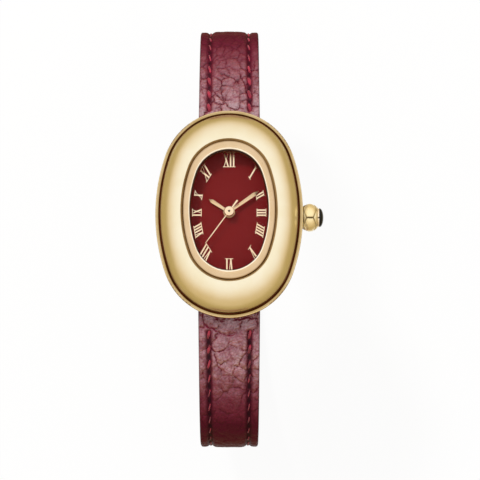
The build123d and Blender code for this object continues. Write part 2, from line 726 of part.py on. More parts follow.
def coil():
    """The coil: its core lies against the stator's ends, and flanges close the winding."""
    core = box_between((-core_half, coil_y - core_wide / 2, stator_z - core_thick),
                       (core_half, coil_y + core_wide / 2, stator_z))
    centre_z = stator_z - core_thick / 2
    winding = rod_x(-coil_half, coil_half, coil_y, centre_z, coil_radius)
    for side in (1, -1):
        ends = sorted((side * coil_half, side * (coil_half + coil_flange_thick)))
        winding += rod_x(ends[0], ends[1], coil_y, centre_z, coil_flange_radius)
    return winding + core


def circuit_board():
    """The circuit board under the plate's rim, beside the train bridge."""
    board = oval_block(outline, board_top - board_thick, board_top)
    return board & box_between((-outline[0], board_low_y, 0), (board_right_x, board_high_y, board_top))


def quartz_can():
    """The sealed can of the quartz crystal, lying on the board."""
    x, start = can_place
    can = Rot(90, 0, 0) * Cylinder(can_radius, can_long)
    can = Pos(x, start + can_long / 2, board_top + can_radius) * can
    return fillet(can.edges().filter_by(GeomType.CIRCLE), edge_round)


def chip():
    """The moulded chip on the board."""
    x, y = chip_place
    half = chip_side / 2
    body = box_between((x - half, y - half, board_top), (x + half, y + half, board_top + chip_high))
    return chamfer(body.edges().group_by(Axis.Z)[-1], edge_round)


def battery():
    """The button cell, contact side down."""
    low = plate_bottom - turn_gap - battery_high
    cell = round_block(battery_place, battery_step_radius, low, low + battery_step_high)
    return cell + round_block(battery_place, battery_radius, low + battery_step_high, low + battery_high)


def battery_clamp():
    """The spring strip that holds the cell, hooked to the plate on both sides."""
    x, y = battery_place
    top = plate_bottom - turn_gap - battery_high
    inner = battery_radius + clamp_gap
    outer = inner + clamp_thick
    half = clamp_wide / 2
    strip = box_between((x - outer, y - half, top - clamp_thick), (x + outer, y + half, top))
    for side in (1, -1):
        edges = sorted((x + side * inner, x + side * outer))
        strip += box_between((edges[0], y - half, top - clamp_thick), (edges[1], y + half, plate_bottom))
    return strip


def setting_lever():
    """The lever whose pin sits in the stem's groove, so that the stem's pull turns it."""
    pin_place = (stem_groove_x, stem_y)
    pivot = setting_lever_pivot
    lever = extrude(Pos(0, 0, lever_z) * bar_face(pivot, pin_place, setting_lever_half), lever_thick)
    lever += round_block(pin_place, lever_pin_radius, lever_z, lever_z + lever_thick + lever_pin_high)
    lever += round_block(pivot, lever_post_radius + setting_lever_half, lever_z, lever_z + lever_thick)
    return lever - round_block(pivot, lever_post_radius + turn_gap, lever_z - overrun, lever_z + overrun)


def stop_lever():
    """The lever that stops the seconds wheel while the crown is out."""
    face = bar_face(stop_lever_pivot, stop_lever_tip, stop_lever_half)
    face += bar_face(stop_lever_pivot, stop_lever_tail, stop_lever_half)
    face += Pos(*stop_lever_pivot) * Circle(lever_post_radius + setting_lever_half)
    face -= Pos(*stop_lever_pivot) * Circle(lever_post_radius + turn_gap)
    return extrude(Pos(0, 0, lever_z + lever_thick + seat_gap) * face, lever_thick)


def dial_plate():
    """The dial: an oval plate with a hole for the tubes and two feet."""
    plate = oval_block(grow(cavity, -dial_edge_gap), dial_bottom, dial_top)
    for place in dial_foot_places:
        plate += round_block(place, dial_foot_radius, dial_bottom - dial_foot_long, dial_bottom)
    return plate - round_block(centre_place, hour_tube_radius + dial_hole_gap, plate_top, dome_top)


def oval_reach(shape, angle):
    """How far an oval reaches from its middle at an angle clockwise from +Y."""
    half_wide, half_high, end_radius = shape
    end_y = half_high - end_radius
    inset = half_wide - end_radius
    side_shift = (end_y ** 2 - inset ** 2) / (2 * inset)
    side_radius = half_wide + side_shift
    across, up = abs(math.sin(math.radians(angle))), abs(math.cos(math.radians(angle)))
    end_reach = end_y * up + math.sqrt(end_radius ** 2 - (end_y * across) ** 2)
    if end_reach * up >= end_y * side_radius / (side_radius - end_radius):
        return end_reach
    return math.sqrt(side_radius ** 2 - (side_shift * up) ** 2) - side_shift * across


def oval_facing(shape, angle):
    """The way an oval's edge faces where a line at an angle clockwise from +Y meets it."""
    half_wide, half_high, end_radius = shape
    end_y = half_high - end_radius
    inset = half_wide - end_radius
    side_shift = (end_y ** 2 - inset ** 2) / (2 * inset)
    side_radius = half_wide + side_shift
    x, y = polar((0, 0), oval_reach(shape, angle), 90 - angle)
    if abs(y) >= end_y * side_radius / (side_radius - end_radius):
        return math.degrees(math.atan2(x, y - math.copysign(end_y, y)))
    return math.degrees(math.atan2(x + math.copysign(side_shift, x), y))


def stroke(start, end, wide, slant):
    """One straight stroke of a numeral. Its ends lie along the ring of numerals, which may be slanted."""
    points = [(start[0] - wide / 2, start[1]), (start[0] + wide / 2, start[1]),
              (end[0] + wide / 2, end[1]), (end[0] - wide / 2, end[1])]
    return Polygon(*[(x, y + x * slant) for x, y in points], align=None)


def numeral_face(letters, high, slant):
    """A Roman numeral in thick and thin strokes between two serifs. It is wider where it is higher."""
    stretch = (high / numeral_highs[-1]) ** (1 / 3)
    widths = {"I": stroke_pitch * stretch, "V": wide_v * stretch, "X": wide_x * stretch}
    total = sum(widths[letter] for letter in letters)
    low, top = -high / 2, high / 2
    left = -total / 2
    face = Sketch()
    for letter in letters:
        middle = left + widths[letter] / 2
        lean = widths[letter] / 2 - stroke_thick / 2
        if letter == "I":
            face += stroke((middle, low), (middle, top), stroke_thick, slant)
        elif letter == "V":
            face += stroke((middle, low), (middle - lean, top), stroke_thick, slant)
            face += stroke((middle, low), (middle + lean, top), stroke_thin, slant)
        else:
            face += stroke((middle + lean, low), (middle - lean, top), stroke_thick, slant)
            face += stroke((middle - lean, low), (middle + lean, top), stroke_thin, slant)
        left += widths[letter]
    for edge in (low, top - stroke_thin):
        face += stroke((0, edge), (0, edge + stroke_thin), total + stroke_thin, slant)
    return face


def hour_numerals():
    """The twelve numerals, feet to the middle. Their serifs follow an oval inside the opening."""
    letters = ("XII", "I", "II", "III", "IIII", "V", "VI", "VII", "VIII", "IX", "X", "XI")
    ring = grow(opening, -numeral_inset)
    signs = []
    for number, text in enumerate(letters):
        angle = 360 / len(letters) * number
        quarter = min(number % 6, 6 - number % 6)
        x, y = polar(centre_place, oval_reach(ring, angle), 90 - angle)
        slant = math.tan(math.radians(angle - oval_facing(ring, angle)))
        face = numeral_face(text, numeral_highs[quarter], slant)
        signs.extend(extrude(Pos(x, y, dial_top) * Rot(0, 0, -angle) * face, numeral_thick).solids())
    return Compound(children=signs)


def hand_face(long, base, wide):
    """A pencil-shaped blade along +Y: it widens to its shoulder and ends in a point."""
    shoulder = long * blade_widest_share
    points = [(-base / 2, 0), (base / 2, 0), (wide / 2, shoulder), (0, long), (-wide / 2, shoulder)]
    return Polygon(*points, align=None)


def hand(angle, face, hub, bore, bottom):
    """A hand turned clockwise to its angle: a flat blade on a round hub with a bore."""
    blade = extrude(face, blade_thick)
    solid = Rot(0, 0, -angle) * blade + round_block(centre_place, hub, 0, hand_hub_high)
    if bore:
        solid -= Cylinder(bore, 4 * overrun)
    return Pos(0, 0, bottom) * solid


def hour_hand():
    """The hour hand, pressed on the hour wheel's tube."""
    face = hand_face(hour_long, hour_base, hour_wide)
    return hand(hour_angle, face, hour_hub, hour_tube_radius, hour_hand_z)


def minute_hand():
    """The minute hand, pressed on the cannon pinion."""
    face = hand_face(minute_long, minute_base, minute_wide)
    return hand(minute_hand_angle, face, minute_hub, cannon_tube_radius, minute_hand_z)


def seconds_hand():
    """The thin seconds hand with its tail, under a round cap with a pinhole."""
    face = hand_face(seconds_long, seconds_wide, seconds_wide)
    face += Polygon((-seconds_wide / 2, 0), (-tail_wide / 2, -seconds_tail), (tail_wide / 2, -seconds_tail),
                    (seconds_wide / 2, 0), align=None)
    solid = Rot(0, 0, -seconds_angle) * extrude(face, blade_thick)
    cap = round_block(centre_place, seconds_hub, 0, seconds_cap_high)
    solid += fillet(cap.edges().group_by(Axis.Z)[-1], edge_round)
    solid -= round_block(centre_place, seconds_arbor_radius, -overrun, seconds_cap_high - pinhole_deep)
    solid -= round_block(centre_place, pinhole_radius, 0, seconds_cap_high + overrun)
    return Pos(0, 0, seconds_hand_z) * solid


def walk(bends):
    """Follows a strap half's centre line and lists its stations: length so far, y, z and angle."""
    y, z, run_so_far = bar_y, bar_z, 0.0
    stations = [(run_so_far, y, z, bends[0][1])]
    for size, start, end in bends:
        steps = max(1, math.ceil((end - start) / bend_step))
        for step in range(steps):
            first = math.radians(start + (end - start) * step / steps)
            last = math.radians(start + (end - start) * (step + 1) / steps)
            if start == end:
                y += size * math.cos(first)
                z -= size * math.sin(first)
                run_so_far += size
            else:
                y += size * (math.sin(last) - math.sin(first))
                z -= size * (math.cos(first) - math.cos(last))
                run_so_far += size * (last - first)
            stations.append((run_so_far, y, z, math.degrees(last)))
    return stations


# The two layers below the wrist lie on arcs round one centre. The long half's third bend and
# straight run are worked out so that it meets its arc at the lay angle.
short_bends = tuple(zip(short_bend_sizes, short_bend_angles, short_bend_angles[1:]))
long_bends = tuple(zip(long_bend_sizes, long_bend_angles, long_bend_angles[1:]))
short_stations = walk(short_bends)
inner_arc = short_bend_sizes[-1]
arc_y = short_stations[-1][1]
arc_z = short_stations[-1][2] + inner_arc
buckle_z = short_stations[-1][2]
layer_step_out = bar_loop_radius + layer_gap + strap_thick_end / 2
outer_arc = inner_arc + layer_step_out


def closed_long_bends():
    """The long half's bends, completed so that its end lies outside the short half."""
    _, y, z, _ = walk(long_bends)[-1]
    turn = math.radians(lay_angle)
    third_bend = (y + arc_y - outer_arc * math.sin(turn)) / (1 - math.sin(turn))
    run = z - (arc_z + outer_arc * math.cos(turn)) + third_bend * math.cos(turn)
    tail_start = 180 + tail_arc_angle
    tail_bend = short_bend_sizes[-2] + layer_step_out
    tail_end = tail_start + math.degrees(tail_long / tail_bend)
    return (*long_bends, (run, 90.0, 90.0), (third_bend, 90.0, lay_angle), (outer_arc, lay_angle, tail_start),
            (tail_bend, tail_start, tail_end))


long_stations = walk(closed_long_bends())


def strap_size(station):
    """The strap's width and thickness at a station: it tapers over its first stretch."""
    share = min(station[0] / strap_taper_long, 1)
    wide = strap_wide + (strap_wide_end - strap_wide) * share
    thick = strap_thick_case + (strap_thick_end - strap_thick_case) * share
    if station is long_stations[-1]:
        wide *= tail_tip_share
    return wide, thick


def margin_height(station):
    """How far the flat margins lie above the band's middle: the pad between them fades with the taper."""
    _, thick = strap_size(station)
    return thick / 2 - pad_rise_share * (thick - strap_thick_end)


def station_face(station, points, side):
    """A flat outline across the strap at a station: points are across it and out from the wrist."""
    _, y, z, angle = station
    out_y, out_z = side * math.sin(math.radians(angle)), math.cos(math.radians(angle))
    corners = [Vector(across, side * y + out * out_y, z + out * out_z) for across, out in points]
    return Face(Wire.make_polygon(corners))


def top_outline(station):
    """The upper leather: flat margins with a seam, and a padded crown between them."""
    wide, thick = strap_size(station)
    low = -thick / 2 + lining_thick
    margin = margin_height(station)
    crown_edge = wide / 2 - seam_inset - seam_wide
    rise = thick / 2 - margin
    half = [(wide / 2, low), (wide / 2, margin - strap_edge_round), (wide / 2 - strap_edge_round, margin),
            (crown_edge, margin)]
    half += [(crown_edge * across, margin + rise * up) for across, up in pad_shares] + [(0, thick / 2)]
    return half + [(-across, out) for across, out in reversed(half[:-1])]


def block_outline(station, low, high):
    """A plain band across the strap between two depths."""
    wide, _ = strap_size(station)
    return [(wide / 2, low), (wide / 2, high), (-wide / 2, high), (-wide / 2, low)]


def strap_loft(stations, outline_at, side):
    """A ruled solid through one outline for each station."""
    return loft([station_face(station, outline_at(station), side) for station in stations], ruled=True)


def lining_outline(station):
    """The layer on the wrist side: the lining, or the leather itself where it wraps round a bar."""
    _, thick = strap_size(station)
    return block_outline(station, -thick / 2, -thick / 2 + lining_thick)


def seam_solids(stations, side):
    """Two rows of sewing, one along each margin."""
    rows = []
    for row in (1, -1):
        def outline_at(station):
            wide, _ = strap_size(station)
            left, right = [row * (wide / 2 - seam_inset) + end * seam_wide / 2 for end in (-1, 1)]
            low = margin_height(station)
            return [(left, low), (right, low), (right, low + seam_high), (left, low + seam_high)]
        rows.extend(strap_loft(stations, outline_at, side).solids())
    return Compound(children=rows)


def bar_bore(side_y, z):
    """The hole that a spring bar's tube lies in."""
    return rod_x(-strap_wide, strap_wide, side_y, z, tube_radius + turn_gap)


def strap_short_top():
    """The 12 o'clock half: padded leather looped round the case bar and the buckle bar."""
    strap = strap_loft(short_stations, top_outline, 1)
    for stations in (short_stations[:2], short_stations[-2:]):
        strap += strap_loft(stations, lining_outline, 1)
    strap += rod_x(-strap_wide / 2, strap_wide / 2, bar_y, bar_z, strap_thick_case / 2)
    strap += rod_x(-strap_wide_end / 2, strap_wide_end / 2, arc_y, buckle_z, bar_loop_radius)
    strap -= bar_bore(bar_y, bar_z) + bar_bore(arc_y, buckle_z)
    reach = bar_loop_radius + layer_gap
    half = tongue_wide / 2 + tongue_side_gap
    return strap - box_between((-half, arc_y - 2 * reach, buckle_z - 2 * reach),
                               (half, arc_y + reach, buckle_z + 2 * reach))


def strap_short_lining():
    """The lining between the two loops of the 12 o'clock half."""
    return strap_loft(short_stations[1:-1], lining_outline, 1)


def strap_holes():
    """The tongue's slot, which lies below the buckle bar, and the round holes on both sides of it."""
    deep = bar_loop_radius + 2 * strap_thick_end
    cutters = box_between((-slot_wide / 2, arc_y - slot_start - slot_long, buckle_z - 2 * deep),
                          (slot_wide / 2, arc_y - slot_start, buckle_z - slot_top_drop))
    middle = math.degrees((slot_start + slot_long / 2) / outer_arc)
    for number in range(-holes_each_way, holes_each_way + 1):
        if number:
            angle = math.degrees(number * hole_spacing / outer_arc) - middle
            hole = Pos(0, 0, -outer_arc) * Cylinder(hole_radius, 2 * strap_thick_end)
            cutters += Pos(0, arc_y, arc_z) * Rot(angle, 0, 0) * hole
    return cutters


def strap_long_top():
    """The 6 o'clock half: padded leather that ends in a holed tail below the short half."""
    strap = strap_loft(long_stations, top_outline, -1) + strap_loft(long_stations[:2], lining_outline, -1)
    strap += rod_x(-strap_wide / 2, strap_wide / 2, -bar_y, bar_z, strap_thick_case / 2)
    return strap - bar_bore(-bar_y, bar_z) - strap_holes()


def strap_long_lining():
    """The lining of the 6 o'clock half and its tail."""
    return strap_loft(long_stations[1:], lining_outline, -1) - strap_holes()


def on_arc(along, solid):
    """Puts a solid made at the buckle bar at a distance along the inner arc, towards 12 o'clock."""
    return Pos(0, arc_y, arc_z) * Rot(math.degrees(along / inner_arc), 0, 0) * Pos(0, 0, -inner_arc) * solid


def keeper_ring(gap, foot):
    """A loop of leather round both layers. The foot is how much thicker it is below."""
    half = strap_wide_end / 2 + gap
    high = strap_thick_end / 2 + gap
    low = -(layer_step_out + strap_thick_end / 2 + gap)
    inner = box_between((-half, -keeper_wide, low), (half, keeper_wide, high))
    outer = box_between((-half - keeper_thick, -keeper_wide / 2, low - keeper_thick - foot),
                        (half + keeper_thick, keeper_wide / 2, high + keeper_thick))
    outer = fillet(outer.edges().filter_by(Axis.Y), keeper_thick / 2)
    return outer - inner


# The flat that the closed watch rests on, on the buckle's crossbar and the fixed keeper
crossbar_near = crossbar_along - crossbar_wide / 2
crossbar_top = arc_z - math.sqrt(outer_arc ** 2 - crossbar_near ** 2) - strap_thick_end / 2 - crossbar_gap
rest_z = crossbar_top - crossbar_thick
frame_inner_x = strap_wide_end / 2 + frame_side_gap
frame_outer_x = frame_inner_x + frame_side_wide


def fixed_keeper():
    """The keeper sewn to the short half, with a flat below."""
    ring = on_arc(keeper_along, keeper_ring(keeper_gap, keeper_thick))
    reach = 2 * strap_wide
    return ring - box_between((-reach, arc_y - reach, rest_z - reach), (reach, arc_y + reach, rest_z))


def floating_keeper():
    """The keeper that slides along both layers."""
    return on_arc(floating_along, keeper_ring(floating_gap, 0))


def bar_tube(y, z, half_gap):
    """A spring bar's tube, closed round the pins' necks at both ends."""
    half = half_gap - tube_end_gap
    tube = rod_x(-half, half, y, z, tube_radius) - rod_x(-half + tube_cap, half - tube_cap, y, z, tube_bore)
    return tube - rod_x(-half - overrun, half + overrun, y, z, pin_radius + turn_gap)


def bar_pin(y, z, half_gap, side):
    """One sprung pin: a head inside the tube and a tip in the hole beside it."""
    inner = half_gap - tube_end_gap - tube_cap
    pin = rod_x(inner - pin_head_long, inner, y, z, tube_bore - turn_gap)
    pin += rod_x(inner, half_gap + pin_tip_long, y, z, pin_radius)
    return pin if side > 0 else mirror(pin, Plane.YZ)


def bar_spring(y, z, half_gap):
    """The spring between the two heads, drawn as the sleeve that its turns fill."""
    half = half_gap - tube_end_gap - tube_cap - pin_head_long
    sleeve = rod_x(-half, half, y, z, spring_radius)
    return sleeve - rod_x(-half - overrun, half + overrun, y, z, spring_hole_radius)


bars = {"bar_12": (bar_y, bar_z, lug_inner_x), "bar_6": (-bar_y, bar_z, lug_inner_x),
        "buckle_bar": (arc_y, buckle_z, frame_inner_x)}


def buckle_frame():
    """The buckle: two arms from the bar's eyes to a crossbar outside the tail."""
    along_y = arc_y - crossbar_along
    bar_box = Rectangle(crossbar_wide, crossbar_thick)
    bar_place = Pos(along_y, rest_z + crossbar_thick / 2)
    eye = Pos(arc_y, buckle_z) * Circle(frame_eye_radius)
    arm = make_hull([*(bar_place * bar_box).edges(), *eye.edges()])
    arm = extrude(Plane.YZ * arm, frame_side_wide)
    hole = rod_x(0, eye_hole_deep, arc_y, buckle_z, pin_radius + turn_gap)
    arm = Pos(frame_inner_x, 0, 0) * (arm - hole)
    frame = arm + mirror(arm, Plane.YZ)
    frame += box_between((-frame_outer_x, along_y - crossbar_wide / 2, rest_z),
                         (frame_outer_x, along_y + crossbar_wide / 2, crossbar_top))
    half = tongue_wide / 2 + tongue_side_gap
    notch_top = rest_z + tongue_thick + 2 * turn_gap
    return frame - box_between((-half, along_y - crossbar_wide, rest_z - overrun),
                               (half, along_y + crossbar_wide, notch_top))


def buckle_tongue():
    """The tongue: an eye round the bar's tube, a slope through the slot and a flat end in the notch."""
    low = rest_z + turn_gap
    high = low + tongue_thick
    bend_y = arc_y - crossbar_near + tongue_bend_before
    tip_y = arc_y - crossbar_along - crossbar_wide / 2 - tongue_tip_over
    slope = math.atan2(buckle_z - (low + high) / 2, arc_y - bend_y)
    half = tongue_thick / 2
    side_y, side_z = half * math.sin(slope), half * math.cos(slope)
    points = [(arc_y - side_y, buckle_z + side_z), (bend_y - side_y, high), (tip_y, high), (tip_y, low),
              (bend_y + side_y, low), (arc_y + side_y, buckle_z - side_z)]
    profile = Polygon(*points, align=None) + Pos(arc_y, buckle_z) * Circle(tongue_eye_radius)
    profile -= Pos(arc_y, buckle_z) * Circle(tube_radius + turn_gap)
    return Pos(-tongue_wide / 2, 0, 0) * extrude(Plane.YZ * profile, tongue_wide)


makers = (
    case_middle, bezel_dome, inner_ring, crystal, crystal_gasket, case_back, case_back_gasket, crown_tube, crown,
    crown_gasket, crown_collar, crown_cabochon, winding_stem, setting_pinion, movement_holder, main_plate,
    train_bridge, movement_screws, rotor, fifth_wheel, third_wheel, fourth_wheel, centre_wheel, cannon_pinion,
    minute_wheel, hour_wheel, setting_wheel, stator, coil, circuit_board, quartz_can, chip, battery,
    battery_clamp, setting_lever, stop_lever, dial_plate, hour_numerals, hour_hand, minute_hand, seconds_hand,
    strap_short_top, strap_short_lining, strap_long_top, strap_long_lining, fixed_keeper, floating_keeper,
    buckle_frame, buckle_tongue)
solids = {make.__name__: make() for make in makers}
solids["strap_short_seams"] = seam_solids(short_stations[1:-1], 1)
solids["strap_long_seams"] = seam_solids(long_stations[1:-3], -1)
solids["bar_tubes"] = Compound(children=[bar_tube(*place).solid() for place in bars.values()])
solids["bar_springs"] = Compound(children=[bar_spring(*place).solid() for place in bars.values()])
for name, place in bars.items():
    solids[name + "_pin_right"] = bar_pin(*place, 1)
    solids[name + "_pin_left"] = bar_pin(*place, -1)

for name, solid in solids.items():
    export_step(solid, "parts/" + name + ".step")
print(len(solids), "nodes, resting at z", round(rest_z, 3))
print("buckle bar at", round(arc_y, 3), round(buckle_z, 3))
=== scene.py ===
# %% [markdown]
# # A small oval watch on a red leather strap
# The watch was built as solids first, and this lesson dresses them. A gilt dome, a lacquered
# dial and a grained strap are all surfaces that a formula can give, so most pieces here are
# grids of points worked out with numpy. The hidden pieces keep their solids and get a finish.

# %% Load the solids
import json
import math

import bpy
import numpy as np
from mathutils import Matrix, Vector

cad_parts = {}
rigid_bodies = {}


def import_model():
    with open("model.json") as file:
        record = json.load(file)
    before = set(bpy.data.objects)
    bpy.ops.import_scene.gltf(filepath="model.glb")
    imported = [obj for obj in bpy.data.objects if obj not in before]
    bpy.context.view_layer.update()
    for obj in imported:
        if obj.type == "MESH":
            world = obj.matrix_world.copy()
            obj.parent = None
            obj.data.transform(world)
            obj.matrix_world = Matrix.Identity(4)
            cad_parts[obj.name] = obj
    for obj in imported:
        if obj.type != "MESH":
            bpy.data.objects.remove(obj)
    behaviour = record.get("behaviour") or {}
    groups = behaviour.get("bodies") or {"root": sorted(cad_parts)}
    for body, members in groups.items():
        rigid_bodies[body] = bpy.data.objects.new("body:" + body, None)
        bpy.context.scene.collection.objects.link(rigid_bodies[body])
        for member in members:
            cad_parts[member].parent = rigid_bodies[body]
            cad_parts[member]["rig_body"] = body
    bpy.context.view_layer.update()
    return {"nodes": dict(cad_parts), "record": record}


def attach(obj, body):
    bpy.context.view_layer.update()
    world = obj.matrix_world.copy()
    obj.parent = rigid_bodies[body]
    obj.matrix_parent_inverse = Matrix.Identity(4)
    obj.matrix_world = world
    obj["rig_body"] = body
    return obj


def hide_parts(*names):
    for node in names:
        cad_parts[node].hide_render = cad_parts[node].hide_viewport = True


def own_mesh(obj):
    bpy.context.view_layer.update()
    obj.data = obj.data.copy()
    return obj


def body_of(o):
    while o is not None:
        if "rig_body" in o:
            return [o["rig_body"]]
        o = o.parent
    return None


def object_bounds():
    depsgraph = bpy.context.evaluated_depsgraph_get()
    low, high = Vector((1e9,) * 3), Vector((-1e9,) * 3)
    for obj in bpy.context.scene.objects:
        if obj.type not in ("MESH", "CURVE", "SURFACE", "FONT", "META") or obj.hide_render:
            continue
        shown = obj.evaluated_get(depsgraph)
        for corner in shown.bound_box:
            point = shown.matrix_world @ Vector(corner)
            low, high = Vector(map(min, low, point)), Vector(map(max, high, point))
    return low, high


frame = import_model()
mm = 0.001
nodes = frame["nodes"]
print("loaded", len(nodes), "solids")

# %% [markdown]
# ## The camera
# The photograph looks down on the dial from slightly below 6 o'clock, with a long lens. At the
# case one millimetre is 6.2 pixels of 480, and that fixes the lens once the distance is chosen.
# The camera looks straight at the point that falls on the picture's middle.

# %% Camera
picture = 480
pixels_per_mm = 6.2
camera_distance = 480 * mm
elevation = math.radians(80)
rim_pixel = (229.2, 213.9)
rim_centre = Vector((0, 0, 4.3 * mm))
back = Vector((0, -math.cos(elevation), math.sin(elevation)))
up = Vector((0, math.sin(elevation), math.cos(elevation)))
right = Vector((1, 0, 0))
aside, above = (picture / 2 - part for part in rim_pixel)
aim = rim_centre + (right * aside - up * above) * mm / pixels_per_mm
camera = bpy.data.objects.new("camera", bpy.data.cameras.new("camera"))
camera.location = aim + back * camera_distance
camera.rotation_euler = (math.pi / 2 - elevation, 0, 0)
camera.data.lens = camera.data.sensor_width * camera_distance / (picture / pixels_per_mm * mm)
camera.data.clip_start = 0.01
bpy.context.scene.collection.objects.link(camera)
bpy.context.scene.camera = camera
bpy.context.scene.view_settings.view_transform = "Standard"
print("lens", round(camera.data.lens), "mm")

# %% [markdown]
# ## Shader maths as Python
# A node tree is easier to read as an expression. `Value` wraps one output socket and turns
# + - * and powers into Math nodes. `Finish` holds one material and adds any other node.

# %% Value and Finish
socket_names = {"specular": "Specular IOR Level", "coat_ior": "Coat IOR"}


class Value:
    """A number on a surface: arithmetic on it adds Math nodes."""

    def __init__(self, finish, socket):
        self.finish, self.socket = finish, socket

    def maths(self, operation, first, second=None):
        inputs = {0: first} if second is None else {0: first, 1: second}
        return self.finish.add("ShaderNodeMath", {"operation": operation}, inputs)

    def __add__(self, other):
        return self.maths("ADD", self, other)

    def __sub__(self, other):
        return self.maths("SUBTRACT", self, other)

    def __rsub__(self, other):
        return self.maths("SUBTRACT", other, self)

    def __mul__(self, other):
        return self.maths("MULTIPLY", self, other)

    def __pow__(self, other):
        return self.maths("POWER", self, other)

    def below(self, other):
        return self.maths("LESS_THAN", self, other)

    def size(self):
        return self.maths("ABSOLUTE", self)

    __radd__, __rmul__ = __add__, __mul__


class Finish:
    """A material in the making. Its surface is one Principled shader."""

    def __init__(self, name, **settings):
        self.material = bpy.data.materials.new(name)
        self.material.use_nodes = True
        self.tree = self.material.node_tree
        self.surface = self.tree.nodes["Principled BSDF"]
        self.set(**settings)

    def set(self, **settings):
        """Sets or links sockets of the surface. base_color stands for Base Color, and so on."""
        for key, value in settings.items():
            name = socket_names.get(key, key.replace("_", " ").title())
            self.feed(self.surface.inputs[name], value)
        return self

    def feed(self, socket, value):
        """Links a value to a socket, or writes a plain number or colour in it."""
        if isinstance(value, Value):
            self.tree.links.new(value.socket, socket)
        elif hasattr(value, "__len__") and len(value) == 3 and socket.type == "RGBA":
            socket.default_value = (*value, 1)
        else:
            socket.default_value = value

    def add(self, kind, settings=None, inputs=None, output=0):
        """Any other node: its type, its settings, then the values or links of its sockets."""
        node = self.tree.nodes.new(kind)
        for key, value in (settings or {}).items():
            if key == "stops":
                ramp = node.color_ramp
                for place, color in value[1:-1]:
                    ramp.elements.new(place)
                for element, (place, color) in zip(ramp.elements, value):
                    element.position, element.color = place, (*color, 1)
            else:
                setattr(node, key, value)
        for key, value in (inputs or {}).items():
            self.feed(node.inputs[key], value)
        return Value(self, node.outputs[output])

    def place(self, stretch=(1, 1, 1)):
        """Object coordinates in millimetres, stretched along each axis."""
        coordinates = self.add("ShaderNodeTexCoord", output=3)
        scale = [factor * 1000 for factor in stretch]
        return self.add("ShaderNodeMapping", None, {"Vector": coordinates, "Scale": scale})

    def painted(self, name):
        """A number that numpy has painted on the points of a piece, or 0 where it hasn't."""
        return self.add("ShaderNodeAttribute", {"attribute_name": name}, None, 2)

    def noise(self, place, scale, detail=2.0):
        """Soft random blotches, so many to the millimetre."""
        inputs = {"Vector": place, "Scale": scale, "Detail": detail}
        return self.add("ShaderNodeTexNoise", None, inputs)

    def blend(self, amount, first, second):
        """One colour turning into another."""
        inputs = {0: amount, 6: first, 7: second}
        return self.add("ShaderNodeMix", {"data_type": "RGBA"}, inputs, 2)

    def range(self, value, low, high, to_low, to_high):
        """A value between low and high, carried to the other two limits and held there."""
        inputs = {0: value, 1: low, 2: high, 3: to_low, 4: to_high}
        return self.add("ShaderNodeMapRange", None, inputs)

    def bump(self, height, strength, depth):
        """Raises the surface by height, where a full step is depth millimetres."""
        inputs = {"Height": height, "Strength": strength, "Distance": depth * mm}
        return self.set(normal=self.add("ShaderNodeBump", None, inputs))


def srgb(*parts):
    """A colour from its 0 to 255 values to the linear light that a shader wants: a power curve
    above a short straight start."""
    return tuple(((part / 255 + 0.055) / 1.055) ** 2.4 if part > 10 else part / 3294.6 for part in parts)


print("a dark red of 115, 29, 28 is", [round(part, 3) for part in srgb(115, 29, 28)], "as light")

# %% [markdown]
# ## Metals
# Gilt metal is never one colour: polishing leaves hair-fine lines and the plating varies a
# little. A slow noise tints the colour and a fine one moves the roughness, so highlights break
# up as they do on a real case. Where numpy has painted a crease number, the colour is darkened
# towards a dark brown: painted shade in grooves, seams and notches and on shaded sides. Some
# finishes are only partly metallic, so that they keep their colour where a mirror would show a
# dark one.

# %% Metals
# The dark brown of painted shade, mixed into a metal's colour by the painted crease number.
painted_shade_brown = (70, 44, 14)


def metal(name, color, shade, roughness, grain=60.0, stretch=(1, 1, 1), depth=0.002, metallic=1.0):
    """A metal whose colour drifts between two tones and whose polish has fine lines."""
    finish = Finish(name, metallic=metallic)
    place = finish.place(stretch)
    slow = finish.noise(place, 0.35)
    fine = finish.noise(place, grain, 3.0)
    tone = finish.blend(finish.range(slow, 0.35, 0.65, 0, 1), srgb(*color), srgb(*shade))
    # Painted shade: where a crease number is painted, the colour turns towards the dark brown.
    finish.set(base_color=finish.blend(finish.painted("crease"), tone, srgb(*painted_shade_brown)))
    finish.set(roughness=finish.range(fine, 0.3, 0.7, roughness * 0.85, roughness * 1.2))
    return finish.bump(fine, 0.15, depth)


gilt = metal("polished_gilt", (244, 222, 174), (238, 214, 160), 0.2)
gilt_satin = metal("satin_gilt", (250, 240, 212), (247, 235, 202), 0.3)
rose = metal("rose_gilt", (236, 206, 166), (230, 198, 154), 0.28)
pale_rose = metal("pale_rose_gilt", (252, 228, 194), (247, 218, 178), 0.24)
# A darker, duller gilt: painted shade in the step between the dome and the ring.
shaded_gilt = metal("shaded_gilt", (214, 184, 130), (200, 168, 112), 0.5, metallic=0.6)
# A darker copy of the case's gilt: painted shade on the rim.
rim_shaded_gilt = metal("rim_shaded_gilt", (202, 176, 130), (190, 162, 112), 0.24)
# A paler gilt: a painted highlight on the ring's inner edge.
edge_highlight_gilt = metal("edge_highlight_gilt", (255, 244, 222), (255, 240, 214), 0.3, metallic=0.4)
crown_gilt = metal("crown_gilt", (255, 240, 192), (252, 230, 174), 0.3, metallic=0.6)
collar_gilt = metal("collar_gilt", (255, 236, 206), (250, 226, 190), 0.3, metallic=0.5)
